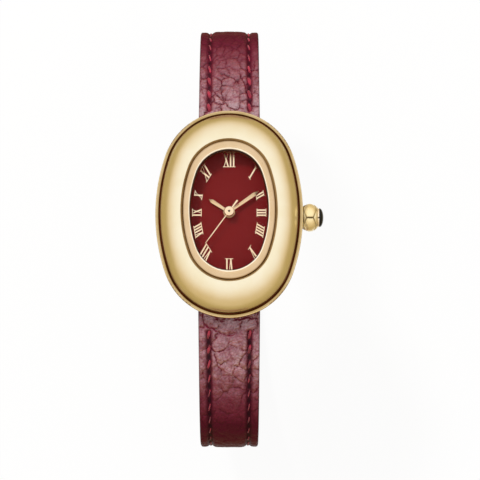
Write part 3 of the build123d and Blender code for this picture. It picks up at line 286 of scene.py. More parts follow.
# A dark bronze: painted shade in the rim's groove and on the wall inside the ring.
groove_shade_bronze = metal("groove_shade_bronze", (112, 54, 28), (90, 42, 18), 0.5)
steel = metal("brushed_steel", (200, 200, 202), (186, 187, 190), 0.32, 8.0, (1, 14, 1), 0.004)
bright_steel = metal("bright_steel", (214, 214, 216), (204, 205, 208), 0.18)
brass = metal("movement_brass", (214, 184, 118), (200, 166, 98), 0.3, 9.0, (12, 1, 1))
copper = metal("coil_copper", (196, 112, 72), (170, 88, 56), 0.32, 3.0, (20, 0.4, 1), 0.02)
print("materials so far", len(bpy.data.materials))

# %% [markdown]
# ## Plastics, rubber, stone and lacquer
# Moulded and polished materials differ in how rough and how evenly coloured they are, so one
# function makes them all. The dial is lacquer over metal: deep red, slightly mottled and only
# half glossy, because the crystal above it already shines.

# %% Plastics, rubber, stone and lacquer


def plastic(name, color, shade, roughness, grain, depth=0.01):
    """A moulded material with a fine texture."""
    finish = Finish(name)
    fine = finish.noise(finish.place(), grain, 3.0)
    finish.set(base_color=finish.blend(fine, srgb(*color), srgb(*shade)))
    finish.set(roughness=finish.range(fine, 0.3, 0.7, roughness * 0.9, min(1, roughness * 1.15)))
    return finish.bump(fine, 0.3, depth)


rubber = plastic("seal_rubber", (26, 26, 27), (38, 38, 38), 0.7, 14)
# Dark brown: painted shade where the crystal gasket's edge shows between ring and dial.
gasket_shade_brown = plastic("gasket_shade_brown", (48, 12, 8), (40, 9, 6), 0.6, 14)
white_plastic = plastic("holder_plastic", (226, 225, 220), (212, 211, 205), 0.5, 10)
board = plastic("board_lacquer", (22, 92, 58), (16, 74, 46), 0.35, 6)
black_plastic = plastic("chip_plastic", (24, 24, 26), (34, 34, 36), 0.45, 18)
stone = plastic("black_stone", (16, 16, 15), (26, 26, 25), 0.06, 3, 0.001)
stone.set(specular=0.2)
dial_red = Finish("dial_lacquer", specular=0.15)
speck = dial_red.noise(dial_red.place(), 30, 3.0)
mottle = dial_red.noise(dial_red.place(), 0.12)
dial_red.set(base_color=dial_red.blend(mottle, srgb(121, 22, 23), srgb(111, 19, 20)))
dial_red.set(roughness=dial_red.range(speck, 0.3, 0.7, 0.5, 0.6))
dial_red.bump(speck, 0.05, 0.001)
print("the dial's red has", len(dial_red.tree.nodes), "nodes")

# %% [markdown]
# ## Glass that lets the lamps through
# A refracting glass throws dark shadows on a dial. A flat crystal hardly bends light, so it is
# made as a clear surface with a faint mirror whose share grows towards grazing angles. Its side
# wall is painted out of the mirror, or it would draw a grey line round the dial.

# %% Crystal glass
straight_share, grazing_share = 0.002, 0.6
glass = Finish("crystal_glass", base_color=(1, 1, 1), roughness=0.02)
clear = glass.add("ShaderNodeBsdfTransparent")
shine = glass.add("ShaderNodeBsdfGlossy", None, {"Roughness": 0.02})
edge_on = glass.add("ShaderNodeLayerWeight", None, {"Blend": 0.5}, 1)
mirror = (edge_on ** 4.0 * grazing_share + straight_share) * (1 - glass.painted("side"))
seen_through = glass.add("ShaderNodeMixShader", None, {0: mirror, 1: clear, 2: shine})
glass.feed(glass.tree.nodes["Material Output"].inputs["Surface"], seen_through)
print("the glass mirrors", straight_share, "of the light straight on")

# %% [markdown]
# ## Leather
# Dyed leather is darkest where it is untouched and lighter where the polish number is painted:
# partly wear from handling, partly a painted sheen where the band faces the light. The strap's
# formula paints two numbers on its points, how creased and how polished each is; the crease
# number is painted shade. The polish also gives a clear coat, which catches the sky as waxed
# leather does. Fine pores come from the borders of small cells.

# %% Leather


def leather(name, color, worn_and_sheen, crease, roughness, grain):
    """Leather: it is lighter where polish and painted sheen are painted, and pores and the painted shade of
    creases darken it.
    """
    finish = Finish(name)
    place = finish.place()
    cells = {"Vector": place, "Scale": grain}
    pores = finish.add("ShaderNodeTexVoronoi", {"feature": "DISTANCE_TO_EDGE"}, cells)
    mottle = finish.noise(place, 1.2, 4.0)
    dark = finish.range(pores, 0.0, 0.12, 1, 0)
    deepest = [part * 0.6 for part in crease]
    # Painted sheen and wear: the polish number lightens the colour towards the worn colour.
    dye_and_sheen = finish.blend(finish.painted("polish") ** 0.5, srgb(*color), srgb(*worn_and_sheen))
    dye_and_sheen = finish.blend(finish.range(mottle, 0.3, 0.7, 0, 0.35), dye_and_sheen, srgb(*crease))
    dye_and_sheen = finish.blend(dark * 0.35, dye_and_sheen, srgb(*crease))
    # Painted shade: the crease number darkens creases, channels, needle holes and the rounded edge.
    finish.set(base_color=finish.blend(finish.painted("crease"), dye_and_sheen, srgb(*deepest)))
    finish.set(roughness=finish.range(mottle, 0.3, 0.7, roughness * 0.85, roughness * 1.15))
    return finish.bump(finish.range(pores, 0.0, 0.2, 0, 1) + mottle * 0.8, 0.6, 0.05)


red_leather = leather("red_leather", (92, 14, 38), (152, 38, 70), (66, 6, 28), 0.5, 3.2)
wax = red_leather.painted("polish")
red_leather.set(specular=0.12, coat_weight=wax, coat_roughness=0.3, coat_ior=2.9)
lining = leather("lining_leather", (176, 130, 96), (176, 130, 96), (120, 82, 58), 0.6, 5.0)
print("the red leather has", len(red_leather.tree.nodes), "nodes")

# %% [markdown]
# ## Thread
# The sewing is waxed thread. Slanted bands stand for its twisted strands. On the 6 o'clock
# half the photograph's thread is duller, so that half gets a darker copy of it, a painted shade.

# %% Thread


def waxed(name, color, shade):
    """Waxed thread: bands run aslant, as its strands do, and slow blotches wear it darker."""
    finish = Finish(name, roughness=0.5, sheen_weight=0.3)
    bands = {"wave_type": "BANDS", "bands_direction": "DIAGONAL"}
    strands = {"Vector": finish.place(), "Scale": 2.2, "Distortion": 1.0}
    twist = finish.add("ShaderNodeTexWave", bands, strands)
    blotch = finish.range(finish.noise(finish.place(), 0.6), 0.4, 0.6, 0, 0.6)
    finish.set(base_color=finish.blend(twist * 0.4 + blotch, srgb(*color), srgb(*shade)))
    return finish.bump(twist, 0.5, 0.03)


thread = waxed("waxed_thread", (194, 40, 72), (118, 16, 40))
# A darker copy of the thread: painted shade on the 6 o'clock half.
shaded_thread = waxed("shaded_thread", (176, 34, 62), (70, 8, 22))
print("materials so far", len(bpy.data.materials))

# %% [markdown]
# ## Grids of points
# Each new piece is a grid: rows along one parameter and columns along another, and both may
# close on themselves. Faces join neighbours, and a closed piece that came out inside out is
# turned by the sign of its volume.

# %% Meshes from grids
crease_angle = math.radians(32)


def grid_faces(rows, columns, loop_rows=False, loop_columns=False):
    """Four-cornered faces of a grid, numbered row by row."""
    row = np.arange(rows if loop_rows else rows - 1)[:, None]
    column = np.arange(columns if loop_columns else columns - 1)[None, :]
    here, below, beside = row * columns, (row + 1) % rows * columns, (column + 1) % columns
    corners = [here + column, here + beside, below + beside, below + column]
    return np.stack(np.broadcast_arrays(*corners), -1).reshape(-1, 4)


def volume(points, faces):
    """Signed volume inside four-cornered faces: the sum of the cones to the origin."""
    a, b, c, d = (points[faces[:, i]] for i in range(4))
    return float((np.cross(b, c) * a).sum() + (np.cross(c, d) * a).sum()) / 6


def finish_piece(name, mesh, finish, body, replaced=()):
    """Makes an object of a mesh, rides it on a body and hides the solids that it stands for."""
    mesh.polygons.foreach_set("use_smooth", np.ones(len(mesh.polygons), bool))
    mesh.set_sharp_from_angle(angle=crease_angle)
    mesh.materials.clear()
    mesh.materials.append(finish.material)
    mesh.update()
    piece = bpy.data.objects.new(name, mesh)
    bpy.context.scene.collection.objects.link(piece)
    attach(piece, body)
    if replaced:
        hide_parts(*replaced)
    return piece


def mesh_from_grids(name, grids):
    """A mesh of one or more closed grids. Each grid is its points in millimetres and its faces."""
    points, faces, start = [], [], 0
    for part_points, part_faces in grids:
        flat = np.asarray(part_points, float).reshape(-1, 3)
        if volume(flat, part_faces) < 0:
            part_faces = part_faces[:, ::-1]
        points.append(flat)
        faces.append(part_faces + start)
        start += len(flat)
    points, faces = np.concatenate(points) * mm, np.concatenate(faces)
    mesh = bpy.data.meshes.new(name)
    mesh.vertices.add(len(points))
    mesh.vertices.foreach_set("co", points.ravel())
    mesh.loops.add(faces.size)
    mesh.loops.foreach_set("vertex_index", faces.ravel())
    mesh.polygons.add(len(faces))
    mesh.polygons.foreach_set("loop_start", np.arange(0, faces.size, 4))
    mesh.update(calc_edges=True)
    mesh.validate()
    return mesh


def piece_from_grids(name, grids, finish, body, replaced=()):
    """A finished piece of one or more closed grids."""
    return finish_piece(name, mesh_from_grids(name, grids), finish, body, replaced)


def paint(mesh, name, values):
    """Stores a number on the first points of a mesh, and 0 on the rest."""
    numbers = np.zeros(len(mesh.vertices), np.float32)
    numbers[:values.size] = values.ravel()
    mesh.attributes.new(name, "FLOAT", "POINT").data.foreach_set("value", numbers)


def repaint(piece, *bands, columns):
    """Gives bands of a ring's section their own finish. A band is (first row, last row, finish)."""
    row = np.arange(len(piece.data.polygons)) // columns
    number = np.zeros(len(row), np.int32)
    for first, last, finish in bands:
        piece.data.materials.append(finish.material)
        number[(row >= first) & (row < last)] = len(piece.data.materials) - 1
    piece.data.polygons.foreach_set("material_index", number)


print("a 3 by 4 grid has", len(grid_faces(3, 4)), "faces")

# %% [markdown]
# ## Ovals
# The case's outline is four arcs: two ends and two long sides that meet them smoothly. A point
# is found from the direction its edge faces, so that rings of different ovals line up.

# %% Oval rings
oval_points, crowding, corner_steps = 360, 0.28, 4


def oval(shape, count=oval_points):
    """Points round a four-arc oval. A point facing angle f lies on the side arc, at its centre
    plus its radius times (cos f, sin f), up to the joining angle, and past it on the end arc.
    The long side arcs turn slowly, so they get more than their share of the directions."""
    half_wide, half_high, end_radius = shape
    end_y, inset = half_high - end_radius, half_wide - end_radius
    shift = (end_y ** 2 - inset ** 2) / (2 * inset)
    turn = np.arange(count) / count * 2 * np.pi
    facing = turn - crowding * np.sin(2 * turn)
    along, across = np.cos(facing), np.sin(facing)
    side = np.abs(np.arctan2(across, np.abs(along))) < math.atan2(end_y, shift)
    side_x = np.sign(along) * (-shift + (half_wide + shift) * np.abs(along))
    end_y_there = np.sign(across) * end_y + end_radius * across
    x = np.where(side, side_x, end_radius * along)
    y = np.where(side, (half_wide + shift) * across, end_y_there)
    return np.stack([x, y], -1)


def rounded(rows, radius):
    """A profile with its corners rounded: each corner becomes a short parabola."""
    rows = np.asarray(rows, float)
    before, after = np.roll(rows, 1, 0) - rows, np.roll(rows, -1, 0) - rows
    t = np.linspace(0, 1, corner_steps + 1)[None, :, None]
    cuts = []
    for step in (before, after):
        long = np.hypot(step[:, 0], step[:, -1])[:, None]
        cuts.append(rows + step * np.minimum(radius / np.maximum(long, 1e-9), 0.45))
    start, end, corner = cuts[0][:, None], cuts[1][:, None], rows[:, None]
    curve = (1 - t) ** 2 * start + 2 * t * (1 - t) * corner + t ** 2 * end
    return curve.reshape(-1, rows.shape[1])


def oval_rings(rows, count):
    """One ring of points for each row of (half width, half height, end radius, z)."""
    return [np.column_stack([oval(row[:3], count), np.full(count, row[3])]) for row in rows]


def oval_sweep(rows):
    """A closed ring: its rows run round its section."""
    return np.array(oval_rings(rows, oval_points)), grid_faces(len(rows), oval_points, True, True)


rim = np.array([11.9, 17.0, 10.9])
dome_edge = np.array([7.8, 11.65, 7.0])
opening = np.array([6.35, 9.85, 5.6])
cavity = np.array([8.4, 12.0, 7.7])
dome_foot, ring_outline = rim - 0.75, dome_edge - 0.4
print("case", 2 * rim[0], "by", 2 * rim[1], "mm")

# %% [markdown]
# ## The domed bezel
# It is one smooth swell from the groove at the rim to the sharp edge round the ring. Its side
# is a quarter ellipse swept through 78 degrees. The inside is plain, because nothing shows. The
# foot is painted a little darker towards the groove, a painted shade, and the wall towards the
# ring gets a darker, duller gilt, painted shade in the step.

# %% Domed bezel
flange_top, dome_top, sweep, ring_floor, cavity_top = 4.3, 8.3, math.radians(78), 6.95, 5.35
swept = np.linspace(0, sweep, 40)[:, None]
share = (np.cos(swept) - math.cos(sweep)) / (1 - math.cos(sweep))
climb = (dome_top - flange_top) * np.sin(swept) / math.sin(sweep)
skin = np.hstack([dome_edge + (dome_foot - dome_edge) * share, flange_top + climb])
ledge, edge_lap, edge_low, wall_low = ring_outline - 0.4, 0.04, 0.55, 0.62
inside = np.array([[*(ring_outline + edge_lap), dome_top - edge_low], [*ring_outline, dome_top - wall_low],
                   [*ring_outline, ring_floor], [*ledge, ring_floor], [*ledge, cavity_top],
                   [*cavity, cavity_top], [*cavity, flange_top]])
inside = np.repeat(inside, [1, 1, 2, 2, 2, 2, 2], axis=0)
bezel = piece_from_grids("domed_bezel", [oval_sweep(np.vstack([skin, inside]))], gilt_satin,
                         "watch", ["bezel_dome"])
# The step down to the ring gets the darker gilt, a painted shade.
ring_wall = (len(skin) - 1, len(skin) + 3, shaded_gilt)
repaint(bezel, ring_wall, columns=oval_points)
# Painted shade: the dome's foot is darker towards the groove.
foot_shade = np.interp(np.arange(len(skin)), [0, 6, 14], [0.4, 0.2, 0])
paint(bezel.data, "crease", np.repeat(foot_shade, oval_points))
print("the dome rises", round(dome_top - flange_top, 2), "mm over its flange")

# %% [markdown]
# ## The rim
# A thin lip stands round the dome with a dark groove between them. The ring below is a hair
# larger than the solid's flange, so that it hides its facets. It is one profile with rounded
# corners, carried round the oval, in a darker copy of the case's gilt, a painted shade. Its
# outer side is painted darker still, a painted shade as it is in the photograph, and the
# groove's rows get a dark bronze, painted shade where light hardly reaches.

# %% Rim and groove
hair, lip, lip_top, flange_under = 0.012, 0.5, 4.65, 3.9
under_cut, rim_wide, rim_round = 0.2, 1.2, 0.3
outer, inner, buried = rim + hair, rim - lip - hair, rim - rim_wide
rim_rows = [[*(rim - under_cut), flange_under - hair], [*outer, flange_under + under_cut],
            [*outer, lip_top + hair], [*inner, lip_top + hair], [*inner, flange_top + hair],
            [*buried, flange_top + hair], [*buried, flange_under - hair]]
rim_profile = rounded(rim_rows, rim_round)
case_rim = piece_from_grids("case_rim", [oval_sweep(rim_profile)], rim_shaded_gilt, "watch")
# The groove's rows get the dark bronze, a painted shade.
groove_rows = (18, 30)
repaint(case_rim, (*groove_rows, groove_shade_bronze), columns=oval_points)
# Painted shade: the rim's outer side and underside are darker.
side_shade = np.interp(np.arange(len(rim_profile)), [10, 14, 30, 34], [0.6, 0.0, 0.0, 0.6])
paint(case_rim.data, "crease", np.repeat(side_shade, oval_points))
print("the rim has", len(case_rim.data.vertices), "points")

# %% [markdown]
# ## The ring round the crystal
# A flat rose gilt ring fills the dome's opening and frames the dial. Its outer part is painted
# darker where it meets the dome, a painted shade. Its inner edge gets a paler gilt, a painted
# highlight in a thin bright line, and the wall below that gets a dark bronze, painted shade
# down to the seat of the crystal.

# %% Ring round the crystal
seat_floor, ring_round = 7.25, 0.16
ring_side, dull_edge, step = ring_outline - 0.02, ring_outline - 0.42, opening - 0.2
ring_rows = [[*ring_side, ring_floor], [*ring_side, dome_top], [*dull_edge, dome_top],
             [*opening, dome_top], [*opening, seat_floor], [*step, seat_floor], [*step, ring_floor]]
ring_profile = rounded(ring_rows, ring_round)
crystal_ring = piece_from_grids("crystal_ring", [oval_sweep(ring_profile)], rose, "watch",
                                ["inner_ring"])
# Painted highlight on the inner edge, and painted shade on the wall below it.
edge_rows, wall_rows = (15, 18), (18, 31)
repaint(crystal_ring, (*edge_rows, edge_highlight_gilt), (*wall_rows, groove_shade_bronze), columns=oval_points)
# Painted shade: the ring's outer part is darker next to the dome.
outer_shade = np.repeat([0.4, 0.32, 0.1, 0, 0, 0, 0], corner_steps + 1)
paint(crystal_ring.data, "crease", np.repeat(outer_shade, oval_points))
print("opening", 2 * opening[0], "by", 2 * opening[1], "mm")

# %% [markdown]
# ## Closing a flat piece
# A crystal is a stack of ovals whose first and last rings shrink to a point. It stands level
# with the ring's top, with a small bevel round its edge.

# %% Crystal
crystal_points, point_share = 180, 1e-3


def oval_stack(rows, count):
    """A solid of stacked ovals, closed at both ends by a ring drawn in to the middle."""
    rings = oval_rings(rows, count)
    rings = [rings[0] * [point_share, point_share, 1], *rings, rings[-1] * [point_share, point_share, 1]]
    return np.array(rings), grid_faces(len(rings), count, False, True)


seat, crystal_bevel, inside_bevel = opening - 0.1, 0.08, 0.1
crystal_rows = [[*seat, seat_floor], [*seat, dome_top - crystal_bevel], [*(seat - crystal_bevel), dome_top],
                [*(seat - inside_bevel), dome_top]]
crystal = piece_from_grids("crystal_glass", [oval_stack(crystal_rows, crystal_points)], glass, "watch",
                           ["crystal"])
paint(crystal.data, "side", np.repeat([0, 1, 1, 1, 0, 0], crystal_points))
print("the crystal is", round(dome_top - seat_floor, 2), "mm thick")

# %% [markdown]
# ## Pieces that keep their solid
# A solid arrives as loose triangles. A copy of it is joined up, its small edges are bevelled
# where a width is given, and it is shaded smooth up to a crease. The case's middle, the back, the
# dial, its numerals and the buckle's two parts need no more than that.

# %% Copies of solids
weld_reach, bevel_steps = 0.001, 3


def polished(name, finish, bevel=0.0):
    """A merged copy of a CAD node that stands for it."""
    mesh = nodes[name].data.copy()
    joined = bpy.data.objects.new(name + "_work", mesh)
    bpy.context.scene.collection.objects.link(joined)
    weld = joined.modifiers.new("weld", "WELD")
    weld.merge_threshold = weld_reach * mm
    if bevel:
        edge = joined.modifiers.new("edge", "BEVEL")
        edge.width, edge.segments = bevel * mm, bevel_steps
        edge.limit_method, edge.angle_limit = "ANGLE", crease_angle
    graph = bpy.context.evaluated_depsgraph_get()
    made = bpy.data.meshes.new_from_object(joined.evaluated_get(graph))
    bpy.data.objects.remove(joined)
    return finish_piece(name + "_finished", made, finish, body_of(nodes[name])[0], [name])


kept_solids = (("case_middle", gilt, "case_gold", 0.0), ("case_back", steel, "back_steel", 0.0),
               ("hour_numerals", pale_rose, "numeral_gold", 0.0), ("dial_plate", dial_red, "dial_red", 0.0),
               ("buckle_frame", gilt, "buckle_gold", 0.12), ("buckle_tongue", gilt, "buckle_gold", 0.1))
for name, finish, slot, bevel in kept_solids:
    copied = polished(name, finish, bevel)
    print(copied.name, len(copied.data.vertices), "points")

# %% [markdown]
# ## The pieces inside
# Everything that stays a bare solid gets the finish of its material slot: the movement's
# plates, wheels and coil, the cell, the board, the seals and the spring bars. Only the
# crystal's gasket differs from the other seals. It is dark brown, a painted shade where its
# edge shows between the ring and the dial.

# %% Finishes of the pieces inside
inner_finishes = {
    "crystal_glass": glass, "seal_rubber": rubber, "bar_steel": bright_steel, "movement_steel": steel,
    "movement_brass": brass, "coil_copper": copper, "battery_steel": bright_steel, "board_green": board,
    "chip_black": black_plastic, "holder_white": white_plastic, "thread": thread,
    "strap_leather": red_leather, "lining_leather": lining, "hand_gold": gilt, "case_gold": gilt,
    "back_steel": steel, "dial_red": dial_red, "numeral_gold": rose, "buckle_gold": gilt,
    "stone_black": stone}
for row in frame["record"]["subparts"]:
    node = nodes[row["node"]]
    node.data.materials.clear()
    # The crystal's gasket gets the dark brown of painted shade.
    finish = gasket_shade_brown if row["node"] == "crystal_gasket" else inner_finishes[row["material_slot"]]
    node.data.materials.append(finish.material)

# %% [markdown]
# ## The crown
# The crown is a squat ball with four broad pads round its middle and four three-cornered ones
# at each end. Each pad owns the directions nearest to its own, as countries on a globe would by
# their capitals, and the seams lie where two of them are equally near. The seams are painted
# dark, darkest round the middle, and the small pads towards the case are painted darker where
# they lie in its shade: all of it painted shade.

# %% Crown
crown_place, seam_angle = np.array([13.02, -0.3, 2.55]), math.radians(100)
around, closing_radius = 240, 0.001
ball_radius, ball_reach, squareness = 2.3, 1.62, 0.75
pole_pads, waist = math.radians(68), math.radians(24)
lowest, highest = -62, 55
pad_shades = np.array([0.0, 0.08, 0.45])
crown_turns = np.arange(around) / around * 2 * np.pi


def about_crown(rows):
    """Points round the crown's axis, from rows of (distance along it, radius)."""
    along, radius = (np.asarray(part, float) + 0 * crown_turns for part in rows)
    return np.stack([along, radius * np.cos(crown_turns), radius * np.sin(crown_turns)], -1) + crown_place


def crown_skin(rows=110):
    """Latitudes from the case side to the stone. The way along the axis is sin(latitude) times the
    reach, and the radius is a power of cos(latitude) times the ball's, less how far it sinks. The
    gap is how much nearer the nearest capital is than the second, by their cosines, and the skin
    sinks as exp(-gap) towards a seam."""
    latitude = np.radians(np.linspace(lowest, highest, rows))[:, None]
    quarter = math.pi / 2
    capitals = [(0.0, seam_angle + quarter * (i + 0.5)) for i in range(4)]
    capitals += [(side * pole_pads, seam_angle + quarter * i) for side in (1, -1) for i in range(4)]
    north = [np.sin(latitude) * math.sin(lat) for lat, lon in capitals]
    level = [np.cos(latitude) * math.cos(lat) * np.cos(crown_turns - lon) for lat, lon in capitals]
    nearness = np.array([first + second for first, second in zip(north, level)])
    shade = pad_shades[nearness.argmax(0) // 4]
    nearness.sort(axis=0)
    gap = nearness[-1] - nearness[-2]
    sink = 0.05 * np.exp(-gap / 0.04) + 0.05 * np.exp(-gap / 0.2)
    middle = np.exp(-(latitude / waist) ** 4)
    seam = (0.45 + 0.55 * middle) * np.exp(-(gap / (0.06 + 0.04 * middle)) ** 2)
    radius = ball_radius * np.cos(latitude) ** squareness * (1 - sink)
    # The third number is painted shade: the seams, and the small pads at each end.
    return ball_reach * np.sin(latitude) + 0 * sink, radius, np.maximum(seam, shade)


skin_along, skin_radius, skin_shade = crown_skin()
bore_floor, bore_mouth, bore_radius = 0.35, -1.48, 0.95
bore_rows = np.array([[bore_floor, closing_radius], [bore_floor, bore_radius], [bore_mouth, bore_radius],
                      [-1.5, 1.1]])
collar_start = 1.25
face_rows = np.array([[collar_start, 1.4], [collar_start, closing_radius]])
ball_rows = [np.vstack([bore_rows[:, i:i + 1] + 0 * skin[:1], skin, face_rows[:, i:i + 1] + 0 * skin[:1]])
             for i, skin in enumerate((skin_along, skin_radius))]
ball_faces = grid_faces(len(ball_rows[0]), around, False, True)
ball = piece_from_grids("crown_ball", [(about_crown(ball_rows), ball_faces)], crown_gilt, "crown_turn",
                        ["crown"])
# Painted shade in the seams and on the small pads.
paint(ball.data, "crease", np.vstack([np.zeros((len(bore_rows), around)), skin_shade]))
print("the crown is", round(2 * float(skin_radius.max()), 2), "mm across its pads")

# %% [markdown]
# ## Collar and stone
# A flat collar with four notches holds a black polished stone on the crown's end. The collar is
# a small rounded profile turned about the crown's axis, less a narrow dip at each notch. The
# stone is half an ellipse turned about the same axis.

# %% Collar and stone
collar_end, collar_radius, collar_bore, collar_round = 1.53, 1.52, 1.0, 0.08
notch_deep, notch_wide, notch_from = 0.12, 0.12, 1.3
stone_girdle, stone_rise = 1.61, 0.62
notch = np.exp(-((np.sin(2 * (crown_turns - seam_angle))) / notch_wide) ** 2)
collar_rows = rounded([[collar_start, collar_bore], [collar_start, collar_radius],
                       [collar_end, collar_radius], [collar_end, collar_bore]], collar_round)
collar_along, collar_out = collar_rows[:, :1], collar_rows[:, 1:]
collar = about_crown([collar_along, collar_out - notch_deep * notch * (collar_out > notch_from)])
collar_faces = grid_faces(len(collar), around, True, True)
crown_ring = piece_from_grids("crown_ring", [(collar, collar_faces)], collar_gilt, "crown_turn",
                              ["crown_collar"])
# Painted shade in the collar's notches.
paint(crown_ring.data, "crease", notch + 0 * collar_along)
rise = np.radians(np.linspace(0, 89.9, 24))[:, None]
cap_rows = np.hstack([stone_girdle + stone_rise * np.sin(rise), collar_radius * np.cos(rise)])
stone_rows = np.vstack([[collar_end, closing_radius], [collar_end, collar_radius], cap_rows])
stone_points = about_crown([stone_rows[:, :1], stone_rows[:, 1:]])
stone_faces = grid_faces(len(stone_rows), around, False, True)
piece_from_grids("crown_stone", [(stone_points, stone_faces)], stone, "crown_turn",
                 ["crown_cabochon"])
print("the stone stands", round(stone_girdle + stone_rise - collar_end, 2), "mm out of its collar")

# %% [markdown]
# ## Hands
# Each hand is a thin blade folded along its middle, so that one side catches the light and the
# other lies in shade. Three lines of points make the top: left edge, ridge and right edge.

# %% Shapes of the hands


def turned(points, angle):
    """Points turned clockwise about the dial's middle, from 12 o'clock to an angle in degrees."""
    c, s = math.cos(math.radians(angle)), math.sin(math.radians(angle))
    x, y, z = np.moveaxis(np.asarray(points, float), -1, 0)
    return np.stack([x * c + y * s, -x * s + y * c, z], -1)


def blade(stations, low, high, rise):
    """A folded blade: stations are (distance, half width). Its section is a flat roof."""
    stations = np.asarray(stations, float)
    reach, half = stations[:, :1], stations[:, 1:]
    across = np.array([[1.0, 1.0, 0.0, -1.0, -1.0]]) * half
    height = np.array([[low, high, high + rise, high, low]]) + 0 * half
    points = np.stack([across, reach + 0 * across, height], -1)
    ends = [points[:1] * [0, 1, 1], points, points[-1:] * [0, 1, 1]]
    points = np.concatenate(ends)
    points[0, :, 2] = points[-1, :, 2] = (low + high) / 2
    return points, grid_faces(len(points), 5, False, True)


def disc(rows, count=64):
    """A turned shape about the dial's middle: rows are (radius, z), closed at both ends."""
    rows = np.asarray(rows, float)
    turn = np.arange(count) / count * 2 * np.pi
    radius, z = rows[:, :1], rows[:, 1:]
    points = np.stack([radius * np.cos(turn), radius * np.sin(turn), z + 0 * turn], -1)
    return points, grid_faces(len(rows), count, False, True)


def hub(radius, bore, low, high, edge=0.06):
    """A flat ring with rounded top edges."""
    return disc([[bore, low], [radius, low], [radius, high - edge], [radius - edge, high], [bore, high],
                 [bore, low]])


print("a hub has", len(hub(0.95, 0.66, 0, 0.3)[1]), "faces")

# %% [markdown]
# ## Three hands on one middle
# The hands stand one above the other, at the angles that the photograph shows. The hour and
# minute hands ride on open hubs. The seconds hand has a tail and a round cap with a pinhole,
# whose inside gets the black stone's finish, a painted shade in the hole. Each hand rides on its
# own body, so that it can turn.

# %% Hour, minute and seconds hands
blade_thick, blade_rise, hub_thick = 0.06, 0.12, 0.3
hour_stations = [(0.5, 0.21), (1.2, 0.23), (3.3, 0.31), (3.96, 0.01)]
minute_stations = [(0.5, 0.21), (1.2, 0.22), (4.95, 0.31), (5.9, 0.01)]
hands = (("hour_hand", "hours", 303.3, 5.75, hour_stations, 0.95, 0.66),
         ("minute_hand", "minutes", 54.65, 6.15, minute_stations, 0.85, 0.44))
for name, body, angle, low, stations, radius, bore in hands:
    points, faces = blade(stations, low, low + blade_thick, blade_rise)
    grids = [(turned(points, angle), faces), hub(radius, bore, low, low + hub_thick)]
    piece_from_grids(name + "_blade", grids, pale_rose, body, [name])
    print(name, "reaches", stations[-1][0], "mm at", angle, "degrees")
seconds_angle, low, cap_points = 216.1, 6.55, 64
needle_thick, needle_rise = 0.1, 0.015
needle_stations = [(-2.25, 0.15), (0, 0.08), (4.0, 0.08), (6.2, 0.05)]
needle, faces = blade(needle_stations, low, low + needle_thick, needle_rise)
cap_profile = [(closing_radius, 0), (0.8, 0), (0.8, 0.3), (0.74, 0.4), (0.6, 0.45), (0.17, 0.45),
               (0.16, 0.2), (closing_radius, 0.2)]
pinhole_rows = (5, 7)
cap = disc([(radius, low + height) for radius, height in cap_profile], cap_points)
seconds = piece_from_grids("seconds_hand_blade", [cap, (turned(needle, seconds_angle), faces)], pale_rose,
                           "seconds", ["seconds_hand"])
# Painted shade: the pinhole's inside gets the black stone's finish.
repaint(seconds, (*pinhole_rows, stone), columns=cap_points)
print("seconds hand at", seconds_angle, "degrees")

# %% [markdown]
# ## The strap's path
# Leather is a band carried along a path. The path is the solids' own row of bends: a radius
# with the angles where it starts and ends, from 0, level, through 90, straight down, to 180,
# back below. Where both angles are the same, the first number is a straight length. Past the
# buckle the long half's tail lies on the outside of the short half, so its third bend and its
# straight run are worked out from where the buckle lies.

# %% Strap path
bar_y, bar_z = 14.0, 1.9
buckle_arc, corner_arc, lay_gap, lay_angle = 46, 18, 1.95, 150
short_bends = [(31.9, 4, 30), (10, 30, 90), (4.5, 90, 90), (corner_arc, 90, lay_angle),
               (buckle_arc, lay_angle, 180)]
long_bends = [(36.5, 4, 30), (10.5, 30, 90)]
fine_run, thinning = 30, 3


def follow(bends, spacing=0.1):
    """Points along a row of bends: distance, y, z and angle in degrees. A bend of radius r adds
    r times the change of (sin, cos) of the angle. Points are fewer on the hidden far part."""
    y, z, run, rows = bar_y, bar_z, 0.0, []
    for size, start, end in bends:
        length = size if start == end else size * math.radians(end - start)
        t = np.linspace(0, 1, max(2, round(length / spacing)))
        angle = np.radians(start + (end - start) * t)
        if start == end:
            ys, zs = y + size * t * np.cos(angle), z - size * t * np.sin(angle)
        else:
            ys = y + size * (np.sin(angle) - np.sin(angle[0]))
            zs = z - size * (np.cos(angle[0]) - np.cos(angle))
        rows.append(np.stack([run + length * t, ys, zs, np.degrees(angle)], -1)[1 if rows else 0:])
        run, y, z = run + length, ys[-1], zs[-1]
    rows = np.concatenate(rows)
    number = np.arange(len(rows))
    return rows[(rows[:, 0] < fine_run) | (number % thinning == 0) | (number == len(rows) - 1)]


short_path = follow(short_bends)
arc_y, buckle_z = short_path[-1, 1], short_path[-1, 2]
arc_z, outer_arc = buckle_z + buckle_arc, buckle_arc + lay_gap
_, corner_y, corner_z, _ = follow(long_bends)[-1]
lay = math.radians(lay_angle)
third_bend = (corner_y + arc_y - outer_arc * math.sin(lay)) / (1 - math.sin(lay))
straight = corner_z - (arc_z + outer_arc * math.cos(lay)) + third_bend * math.cos(lay)
tail_bend, tail_long, tail_angle = corner_arc + lay_gap, 5, 210
tail_end = tail_angle + math.degrees(tail_long / tail_bend)
long_path = follow(long_bends + [(straight, 90, 90), (third_bend, 90, lay_angle),
                                 (outer_arc, lay_angle, tail_angle), (tail_bend, tail_angle, tail_end)])
print("strap halves", round(short_path[-1, 0], 1), "and", round(long_path[-1, 0], 1), "mm")

# %% [markdown]
# ## The strap's sections
# Across the band the leather is padded in the middle, flat at the margins, and pressed in under
# the sewing. Both its width and its padding shrink over the first 50 mm. The long half ends in
# a rounded tail.

